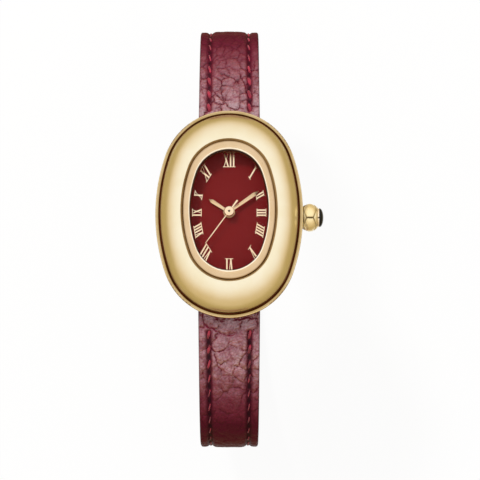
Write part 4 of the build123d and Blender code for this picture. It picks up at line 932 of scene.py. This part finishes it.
# %% Strap sections
strap_wide, strap_narrow, padded_thick, thin, taper_run = 10, 9, 2.4, 1.6, 50
seam_inset, lining_thick, stitch_pitch, channel_deep = 1.65, 0.5, 2.4, 0.42


def widths(path, tail=0.0):
    """The band's half width and thickness at each point of a path. Both shrink evenly along the
    taper, and a tail is rounded by the root of 1 less a share of the cube of the way along it."""
    share = np.minimum(path[:, 0] / taper_run, 1)
    wide = strap_wide - (strap_wide - strap_narrow) * share
    thick = padded_thick - (padded_thick - thin) * share
    if tail:
        near = np.clip((path[:, 0] - path[-1, 0] + tail) / tail, 0, 1)
        wide = wide * np.sqrt(1 - 0.72 * near ** 3)
    return wide / 2, thick


def carried(path, across, out, side):
    """Points of a section at each point of a path: across the band along X, and out from the
    wrist along (sin, cos) of the path's angle."""
    angle = np.radians(path[:, 3])[:, None]
    y = side * (path[:, 1][:, None] + out * np.sin(angle))
    return np.stack([across, y, path[:, 2][:, None] + out * np.cos(angle)], -1)


def margin_height(thick):
    """How far the margins outside the sewing lie above the band's middle."""
    return thick / 2 - 0.3 * (thick - thin)


print("the band tapers from", strap_wide, "to", strap_narrow, "mm")

# %% [markdown]
# ## Leather grain
# Pebbled grain is a map of cells: every point belongs to its nearest random seed, and the
# border lies where two seeds are equally near. Slow random fields bend the borders, let some
# of them fade and some crack deeper, and crinkle the skin between them.

# %% Cells and drifts
tiles, lattice, lattice_start = 64, 128, 40


def pebbles(u, v, cell, seed):
    """Cell borders: the second nearest seed's distance less the nearest's, in cells."""
    offsets = np.random.default_rng(seed).random((tiles, tiles, 2))
    gu, gv = u / cell, v / cell
    iu, iv = np.floor(gu).astype(int), np.floor(gv).astype(int)
    near, second = np.full(u.shape, 9.0), np.full(u.shape, 9.0)
    for du in (-1, 0, 1):
        for dv in (-1, 0, 1):
            spot = offsets[(iu + du) % tiles, (iv + dv) % tiles]
            gap = np.hypot(iu + du + spot[..., 0] - gu, iv + dv + spot[..., 1] - gv)
            second = np.minimum(second, np.maximum(near, gap))
            near = np.minimum(near, gap)
    return second - near


def drift(u, v, size, seed):
    """A smooth random field from 0 to 1: random values on a lattice, eased between its corners."""
    values = np.random.default_rng(seed).random((lattice, lattice))
    u, v = u / size + lattice_start, v / size + lattice_start
    iu, iv = np.floor(u).astype(int), np.floor(v).astype(int)
    fu, fv = u - iu, v - iv
    fu, fv = fu * fu * (3 - 2 * fu), fv * fv * (3 - 2 * fv)

    def corner(a, b):
        return values[(iu + a) % lattice, (iv + b) % lattice]

    low = corner(0, 0) * (1 - fu) + corner(1, 0) * fu
    return low * (1 - fv) + (corner(0, 1) * (1 - fu) + corner(1, 1) * fu) * fv


def skin_grain(u, v, seed, cell, reach):
    """The grain's depth in millimetres, its deep lines, its domes, the distance to the fine
    cells' borders, and how strong the grain still is, which falls with the distance along the
    band. A line is a bell curve of the distance from a border, and a dome is 1 - exp(-distance)."""
    bend_u = 0.9 * drift(u, v, 1.4, seed + 5) + 0.3 * drift(u, v, 0.45, seed + 6)
    bend_v = 0.9 * drift(u, v, 1.4, seed + 8) + 0.3 * drift(u, v, 0.45, seed + 9)
    coarse = pebbles(u / 1.15 + bend_u, v + bend_v + 20, cell, seed)
    fine = pebbles(u + bend_v, v + bend_u + 20, 0.6, seed + 7)
    fade = np.clip(1.6 - u / reach, 0.1, 1)
    broken = np.clip(2.2 * drift(u, v, 1.3, seed + 1) - 0.35, 0, 1) * fade
    line = np.exp(-(coarse / 0.06) ** 2) * broken
    dome = 1 - np.exp(-coarse / 0.3)
    crinkle = drift(u, v, 0.5, seed + 3) + 0.6 * drift(u, v, 0.22, seed + 4)
    deep = 0.08 * line + 0.24 * (1 - dome) * (0.25 + 0.75 * broken) + 0.06 * np.exp(-fine / 0.2) * fade
    return deep + 0.09 * crinkle * (0.25 + 0.75 * fade), line, dome, fine, fade


test_line = np.linspace(0, 5, 50)
widest = float(pebbles(test_line, test_line, 1.0, 1).max())
print("the distances to the two nearest seeds differ by up to", round(widest, 2), "cells")

# %% [markdown]
# ## The upper leather
# The skin's height is the margin's, plus the pad, less the channels of the sewing and the
# grain. The same patterns give two painted numbers: how dark a point is, a painted shade in
# creases, channels and needle holes and a darker rounded edge, and how worn it is, lighter on
# the tops of the pebbles as wear and painted highlight together.

# %% Upper leather
section_points, margin_edge, pad_gap = 100, 0.4, 0.25
channel_wide, trough_wide, hole_wide, hole_long = 0.42, 0.6, 0.3, 0.16


def strap_top(path, side, seed, row_start, grain, tail=0.0):
    """The upper leather as one closed loop of points at each station, with how dark and how
    worn it is there: the dark is painted shade in creases, channels and holes, and the worn is
    wear and a painted highlight on the pebbles. A channel is a bell curve of the distance from
    the sewing's row. The grain is given as its cells' size, how cracked it is, its reach and how
    dark the sewing's row is, a painted shade."""
    half, thick = (values[:, None] for values in widths(path, tail))
    t = np.linspace(1, -1, section_points)[None, :]
    across = half * np.sign(t) * np.abs(t) ** 0.92
    margin, low = margin_height(thick), -thick / 2 + lining_thick
    pad = np.maximum(half - seam_inset - pad_gap, 0.1)
    inner = np.clip(1 - (across / pad) ** 2, 0, 1) ** 0.62
    u = path[:, 0][:, None] + 0 * across
    from_seam = np.abs(across) - half + seam_inset
    started = np.clip((u - row_start + 0.9) / 0.4, 0, 1)
    channel = np.exp(-(from_seam / channel_wide) ** 2) * started
    trough = np.exp(-(from_seam / trough_wide) ** 4) * started
    from_hole = np.mod((u - row_start) / stitch_pitch, 1) - 0.5
    hole = np.exp(-(from_hole / hole_long) ** 2) * np.exp(-(from_seam / hole_wide) ** 2)
    cell, cracked, reach, trough_dark = grain
    relief, line, dome, fine, fade = skin_grain(u, across, seed, cell, reach)
    edge = np.clip((half - np.abs(across)) / margin_edge, 0, 1)
    out = margin + (thick / 2 - margin) * inner - channel_deep * channel
    out = out - relief * edge * (1 - 0.7 * channel) - margin_edge * (1 - np.sqrt(1 - (1 - edge) ** 2))
    # Painted shade in creases, channels, needle holes, fine crinkles and the sewing's trough, and a darker
    # rounded edge.
    dark = 0.42 * cracked * line * edge + 0.25 * channel ** 2 + 0.6 * hole * started
    dark = dark + 0.6 * (1 - edge) ** 2 + 0.18 * np.exp(-(fine / 0.08) ** 2) * fade + trough_dark * trough
    speck = drift(u, across, 0.9, seed + 2) + drift(u, across, 0.3, seed + 12)
    # Lighter tops of the pebbles: wear and a painted highlight together, with random specks.
    worn_and_sheen = (0.08 + 0.62 * dome * cracked + 0.35 * (2 - cracked) * speck) * (1 - 0.9 * trough)
    worn_and_sheen = worn_and_sheen * (1 - 0.5 * np.exp(-fine / 0.15) * fade)
    under = half * np.array([[-1, -0.5, 0, 0.5, 1]])
    points = carried(path, np.hstack([across, under]), np.hstack([out, low + 0 * under]), side)
    return points, *(np.hstack([np.clip(kind, 0, 1), 0 * under]) for kind in (dark, worn_and_sheen))


def closed_band(points):
    """A band of closed sections with both ends drawn in to their middles."""
    middle = points.mean(1, keepdims=True)
    points = np.concatenate([middle[:1] + 0 * points[:1], points, middle[-1:] + 0 * points[-1:]])
    return points, grid_faces(points.shape[0], points.shape[1], False, True)


print("a section has", section_points, "points across its top")

# %% [markdown]
# ## Cutting the holes
# The tail has a row of round holes, and the buckle's tongue stands in a slot. Leather is
# punched, and so is the mesh: cutters in the shape of the punches are taken away from it.

# %% Punches
rod_points = 32


def punched(mesh, cutters):
    """A mesh with the solids of closed grids cut out of it, as a hole punch does."""
    work = bpy.data.objects.new(mesh.name, mesh)
    tool = bpy.data.objects.new("punch", mesh_from_grids("punch", cutters))
    for piece in (work, tool):
        bpy.context.scene.collection.objects.link(piece)
    cut = work.modifiers.new("cut", "BOOLEAN")
    cut.operation, cut.solver, cut.object = "DIFFERENCE", "EXACT", tool
    made = bpy.data.meshes.new_from_object(work.evaluated_get(bpy.context.evaluated_depsgraph_get()))
    for piece in (work, tool):
        bpy.data.objects.remove(piece)
    return made


def rod(place, angle, radius, long):
    """A cylinder through the strap's tail, at a place (y, z), square to the band there."""
    turn = np.arange(rod_points) / rod_points * 2 * np.pi
    c, s = math.cos(math.radians(angle)), math.sin(math.radians(angle))
    rows = np.array([[-long, closing_radius], [-long, radius], [long, radius], [long, closing_radius]])
    x, along, out = rows[:, 1:] * np.cos(turn), rows[:, 1:] * np.sin(turn), rows[:, :1] + 0 * turn
    y, z = place[0] + along * c - out * s, place[1] + along * s + out * c
    return np.stack([x, y, z], -1), grid_faces(len(rows), rod_points, False, True)


def box_grid(low, high):
    """A box as a grid: four rows of corners round its height."""
    (x0, y0, z0), (x1, y1, z1) = low, high
    corners = np.array([[x0, y0], [x1, y0], [x1, y1], [x0, y1]])
    shrunk = corners.mean(0) + point_share * (corners - corners.mean(0))
    rows = [(shrunk, z0), (corners, z0), (corners, z1), (shrunk, z1)]
    points = np.array([np.column_stack([flat, np.full(4, z)]) for flat, z in rows])
    return points, grid_faces(4, 4, False, True)


hole_step, hole_radius, punch_reach = 7.0, 0.75, 3.2
slot_half, slot_start, slot_long, slot_top, slot_deep = 0.65, 0.6, 4.95, 0.5, 6
slot_low = (-slot_half, arc_y - slot_start - slot_long, buckle_z - slot_deep)
punches = [box_grid(slot_low, (slot_half, arc_y - slot_start, buckle_z - slot_top))]
slot_middle = math.degrees((slot_start + slot_long / 2) / outer_arc)
for number in (-2, -1, 1, 2):
    angle = math.degrees(number * hole_step / outer_arc) - slot_middle
    lean = math.radians(angle)
    place = (arc_y + outer_arc * math.sin(lean), arc_z - outer_arc * math.cos(lean))
    punches.append(rod(place, angle, hole_radius, punch_reach))
print("punches", len(punches))

# %% [markdown]
# ## Both halves of the strap
# Each half has its own grain. The 12 o'clock half shows crisp pebbles, and the 6 o'clock half
# broader and softer ones, with a darker line along the sewing. Their polish fades along the
# band, as it bends away from the light.

# %% Halves


def strap_leather(name, path, side, seed, row_start, grain, shine, node, tail=0.0, cutters=()):
    """A strap half. It is painted with the shade of its creases, and with its polish and painted sheen,
    given as (distance, share).
    """
    points, dark, worn_and_sheen = strap_top(path, side, seed, row_start, grain, tail)
    mesh = mesh_from_grids(name, [closed_band(points)])
    # Painted sheen: the polish fades along the band as it bends away from the light, and is less in the
    # painted shade.
    polish = np.interp(path[:, :1], *np.transpose(shine)) * worn_and_sheen * (1 - 0.8 * dark)
    for key, values in (("crease", dark), ("polish", polish)):
        paint(mesh, key, np.vstack([values[:1], values, values[-1:]]))
    if cutters:
        mesh = punched(mesh, cutters)
    piece = finish_piece(name, mesh, red_leather, "watch", [node])
    return piece


near_bar, near_buckle, tail_round = 0.7, 1.3, 6.0
short_row, long_row = 4.0, 5.2
# The last grain number is a painted shade in the 6 o'clock half's sewing trough.
short_grain, long_grain = (1.5, 1.0, 14, 0.0), (2.3, 0.5, 18, 0.35)
# The shine tables give each half's painted sheen along the band.
short_shine = [(4, 1.3), (10, 0.62), (16, 0.06), (18, 0.0)]
long_shine = [(3, 0.65), (10, 1.1), (13, 0.52), (16, 0.15), (20, 0.0)]
past_bar = short_path[:, 0] > near_bar
short_cut = short_path[past_bar & (short_path[:, 0] < short_path[-1, 0] - near_buckle)]
long_cut = long_path[long_path[:, 0] > near_bar]
strap_leather("strap_short_leather", short_cut, 1, 3, short_row, short_grain, short_shine, "strap_short_top")
strap_leather("strap_long_leather", long_cut, -1, 11, long_row, long_grain, long_shine, "strap_long_top",
              tail_round, punches)
print("stations along the halves", len(short_cut), "and", len(long_cut))

# %% [markdown]
# ## Loops and linings
# Each half is held by loops of the same leather, wrapped round the bars. At the buckle the loop
# is split, so that the tongue has room. Towards the wrist each half has a plain lining, which
# is a band with its wrist side's edges eased.

# %% Loops and linings
lining_gap, lining_ease, loop_round_off, loop_points = 0.005, 0.1, 0.2, 48


def loop_round(place, radius, start, end, bore=0.65):
    """Leather wrapped round a bar: a tube along X with rounded ends."""
    rows = rounded([[bore, start], [radius, start], [radius, end], [bore, end]], loop_round_off)
    turn = np.arange(loop_points) / loop_points * 2 * np.pi
    y, z = place[0] + rows[:, :1] * np.cos(turn), place[1] + rows[:, :1] * np.sin(turn)
    return np.stack([rows[:, 1:] + 0 * turn, y, z], -1), grid_faces(len(rows), loop_points, True, True)


def strap_lining(path, side, tail=0.0):
    """The lining: a plain band on the wrist side, carried along the path."""
    half, thick = (values[:, None] for values in widths(path, tail))
    across = np.hstack([half, half, half / 3, -half / 3, -half, -half, -half / 3, half / 3])
    low, high = -thick / 2, -thick / 2 + lining_thick - lining_gap
    eased = low + lining_ease
    return carried(path, across, np.hstack([eased, high, high, high, high, eased, low, low]), side)


case_loop, buckle_loop, loop_half, tongue_gap = 1.2, 1.0, 5, 0.65
short_loops = [loop_round((bar_y, bar_z), case_loop, -loop_half, loop_half),
               loop_round((arc_y, buckle_z), buckle_loop, tongue_gap, strap_narrow / 2),
               loop_round((arc_y, buckle_z), buckle_loop, -strap_narrow / 2, -tongue_gap)]
piece_from_grids("strap_short_loops", short_loops, red_leather, "watch", ["strap_short_top"])
long_loop = loop_round((-bar_y, bar_z), case_loop, -loop_half, loop_half)
piece_from_grids("strap_long_loop", [long_loop], red_leather, "watch", ["strap_long_top"])
lining_start = 4.6
short_lined, long_lined = (path[path[:, 0] > lining_start] for path in (short_cut, long_cut))
piece_from_grids("strap_short_lining_band", [closed_band(strap_lining(short_lined, 1))], lining, "watch",
                 ["strap_short_lining"])
band = mesh_from_grids("strap_long_lining_band", [closed_band(strap_lining(long_lined, -1, tail_round))])
finish_piece("strap_long_lining_band", punched(band, punches), lining, "watch",
             ["strap_long_lining"])
print("loops", len(short_loops) + 1, "and linings 2, from", lining_start, "mm along the band")

# %% [markdown]
# ## Sewing
# A saddle stitch shows as short slanted strokes of thread that dive into the leather at both
# ends. One small bead is shaped once and copied along the path by array sums. The beads are
# plump near the case and thin out along the band.

# %% Stitches
stitch_long, stitch_slant, bead_rows, bead_columns = 0.78, -0.22, 9, 8
swell_places, swell_sizes, worn_share, stitch_stop = [8, 14], [0.3, 0.13], 0.85, 2.5


def stitches(path, side, first, last, swell_share):
    """Two rows of thread beads. Each is an ellipsoid, pulled down at its ends."""
    places = np.arange(first, last, stitch_pitch)
    at = np.stack([np.interp(places, path[:, 0], path[:, i]) for i in range(4)], -1)
    half, thick = widths(at)
    plump = np.interp(places, swell_places, swell_sizes) * swell_share
    u = np.linspace(0.02, np.pi - 0.02, bead_rows)[:, None]
    v = np.arange(bead_columns)[None, :] / bead_columns * 2 * np.pi
    along = -np.cos(u) * stitch_long + 0 * v
    wide = np.sin(u) ** 0.7 * np.cos(v)
    high = np.sin(u) ** 0.7 * np.sin(v) * 0.2 - 0.25 * (along / stitch_long) ** 2
    faces = grid_faces(bead_rows, bead_columns, False, True)
    grids = []
    for row in (1, -1):
        for (_, y, z, angle), margin_half, depth, swell in zip(at, half, thick, plump):
            c, s = math.cos(math.radians(angle)), math.sin(math.radians(angle))
            across = row * (margin_half - seam_inset) + wide * swell + stitch_slant * along
            out = margin_height(depth) - channel_deep + 0.5 * swell + high
            ys, zs = side * (y + along * c + out * s), z - along * s + out * c
            grids.append((np.stack([across, ys, zs], -1), faces))
    return grids


short_beads = stitches(short_path, 1, short_row, short_path[-1, 0] - stitch_stop, 1)
long_beads = stitches(long_path, -1, long_row, long_path[-1, 0] - tail_round, worn_share)
piece_from_grids("short_stitches", short_beads, thread, "watch", ["strap_short_seams"])
piece_from_grids("long_stitches", long_beads, shaded_thread, "watch", ["strap_long_seams"])
print("stitches", len(short_beads), "and", len(long_beads))

# %% [markdown]
# ## Coils in the spring bars
# Inside each spring bar a coil pushes two pins outwards. Each half of a coil is a wire wound
# from the bar's middle to one end.

# %% Coils
wire, coil_radius, coil_turns, pin_travel = 0.08, 0.29, 14, 0.7
case_reach, buckle_reach, turn_steps, wire_points = 3.69, 3.39, 16, 6


def half_coil(place, end):
    """A wire wound along X from the middle to one end. Its centre goes round the axis as it
    moves along, and its own section is a circle."""
    t = np.linspace(0, 1, coil_turns * turn_steps + 1)[:, None]
    v = np.arange(wire_points)[None, :] / wire_points * 2 * np.pi
    x = np.sign(end) * (wire + (abs(end) - 2 * wire) * t + wire * np.cos(v))
    turn, radius = 2 * np.pi * coil_turns * t, coil_radius + wire * np.sin(v)
    return closed_band(np.stack([x, place[0] + radius * np.cos(turn), place[1] + radius * np.sin(turn)], -1))


bars = (("bar_12", (bar_y, bar_z), case_reach), ("bar_6", (-bar_y, bar_z), case_reach),
        ("buckle_bar", (arc_y, buckle_z), buckle_reach))
for bar, place, reach in bars:
    anchor = (0, place[0] * mm, place[1] * mm)
    keep = 1 - pin_travel / reach
    for side, end in (("right", reach), ("left", -reach)):
        coil = piece_from_grids(f"{bar}_coil_{side}", [half_coil(place, end)], bright_steel, "watch",
                                ["bar_springs"])
        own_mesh(coil)
    print(bar, "has a coil that keeps", round(keep, 2), "of its length")

# %% [markdown]
# ## Keepers
# Two leather keepers hold the tail: one is fixed beside the buckle and the other slides. Their
# solids already have the right shape, so they are copied, bevelled and dyed.

# %% Keepers
for name in ("fixed_keeper", "floating_keeper"):
    keeper = polished(name, red_leather, 0.12)
    print(keeper.name, len(keeper.data.vertices), "points")

# %% [markdown]
# ## The floor
# The floor lies under the clasp, and three kinds of ray see it in their own way. To the camera
# it is white and keeps a soft shadow. To the metal's reflections it is a white sheet under the
# watch on a tan table, which gives the dome's side its deep gold. To rays that only carry light
# it is white close by and dull further off, so that it doesn't light the watch from below.

# %% Floor
floor_half, sheet_half, white_share = 3.0, 46.0, 0.92
sheet_white, table_tan, far_dull = (0.9, 0.9, 0.9), (0.50, 0.38, 0.16), (0.30, 0.26, 0.22)
floor_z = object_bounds()[0].z
corners = [(x * floor_half, y * floor_half, floor_z) for x, y in ((-1, -1), (1, -1), (1, 1), (-1, 1))]
mesh = bpy.data.meshes.new("floor")
mesh.from_pydata(corners, [], [(0, 1, 2, 3)])
floor = bpy.data.objects.new("floor", mesh)
bpy.context.scene.collection.objects.link(floor)
white = Finish("floor_white", roughness=0.9)
to_camera, to_mirror, through_glass = (white.add("ShaderNodeLightPath", output=i) for i in (0, 3, 6))
east, north = (white.add("ShaderNodeSeparateXYZ", None, {0: white.place()}, i) for i in (0, 1))
sheet = east.size().below(sheet_half) * north.size().below(sheet_half)
bright = to_camera + sheet * (1 - to_camera)
white.set(base_color=white.blend(bright, far_dull, sheet_white))
glow_color = white.blend(to_mirror, (1, 1, 1), white.blend(sheet, table_tan, (1, 1, 1)))
glow = white.add("ShaderNodeEmission", None, {"Color": glow_color, "Strength": 1.0})
plain = Value(white, white.surface.outputs[0])
shown = to_camera * white_share + to_mirror + through_glass
floor_look = white.add("ShaderNodeMixShader", None, {0: shown, 1: plain, 2: glow})
white.feed(white.tree.nodes["Material Output"].inputs["Surface"], floor_look)
mesh.materials.append(white.material)
print("the floor lies at", round(floor_z / mm, 2), "mm")

# %% [markdown]
# ## The sky
# The camera sees plain white. Everything else sees a studio that is bright overhead and duller
# low down, and duller still towards 6 o'clock. That fall is what gives a dome of polished metal
# its shape, and the tan of its lowest part gives the gilt its warm shadows.

# %% World
sky_stops = [(0.0, (0.66, 0.52, 0.30)), (0.17, (0.80, 0.67, 0.50)), (0.36, (0.88, 0.79, 0.67)),
             (0.59, (0.96, 0.93, 0.90)), (0.80, (1.0, 1.0, 1.0)), (1.0, (1.0, 1.0, 1.0))]
duller_at_six, light_level, mirror_extra = 0.55, 0.8, 0.25


class Sky(Finish):
    """The world's nodes, with the same helpers."""

    def __init__(self):
        self.material = bpy.data.worlds.new("studio")
        self.material.use_nodes = True
        self.tree = self.material.node_tree


sky = Sky()
bpy.context.scene.world = sky.material
toward = sky.add("ShaderNodeTexCoord", output=0)
height, ahead = (sky.add("ShaderNodeSeparateXYZ", None, {0: toward}, i) for i in (2, 1))
heading = height + ahead.below(0.0) * ahead * duller_at_six
tone = sky.add("ShaderNodeValToRGB", {"stops": sky_stops}, {0: heading})
camera_ray, mirror_ray = (sky.add("ShaderNodeLightPath", output=i) for i in (0, 3))
strength = camera_ray + (1 - camera_ray) * (light_level + mirror_extra * mirror_ray)
background = sky.tree.nodes["Background"]
sky.feed(background.inputs["Color"], sky.blend(camera_ray, tone, (1, 1, 1)))
sky.feed(background.inputs["Strength"], strength)
print("the sky has", len(sky_stops), "tones")

# %% [markdown]
# ## The lamps
# A small soft lamp beyond 12 o'clock draws the shadows of the hands and the pads of the
# leather, and a wide faint one on the other side opens them. Neither shows in the metal.

# %% Lamps
watch_middle = Vector((0, 0, 0.004))
lamps = (("key_lamp", (-0.24, 0.34, 0.50), 0.10, 2.1), ("fill_lamp", (0.40, -0.30, 0.50), 0.40, 0.2))
for name, place, side, power in lamps:
    lamp = bpy.data.objects.new(name, bpy.data.lights.new(name, "AREA"))
    lamp.data.size, lamp.data.energy = side, power
    lamp.location = place
    lamp.rotation_euler = (watch_middle - Vector(place)).to_track_quat("-Z", "Y").to_euler()
    lamp.visible_glossy = False
    bpy.context.scene.collection.objects.link(lamp)
    print(name, power, "W")
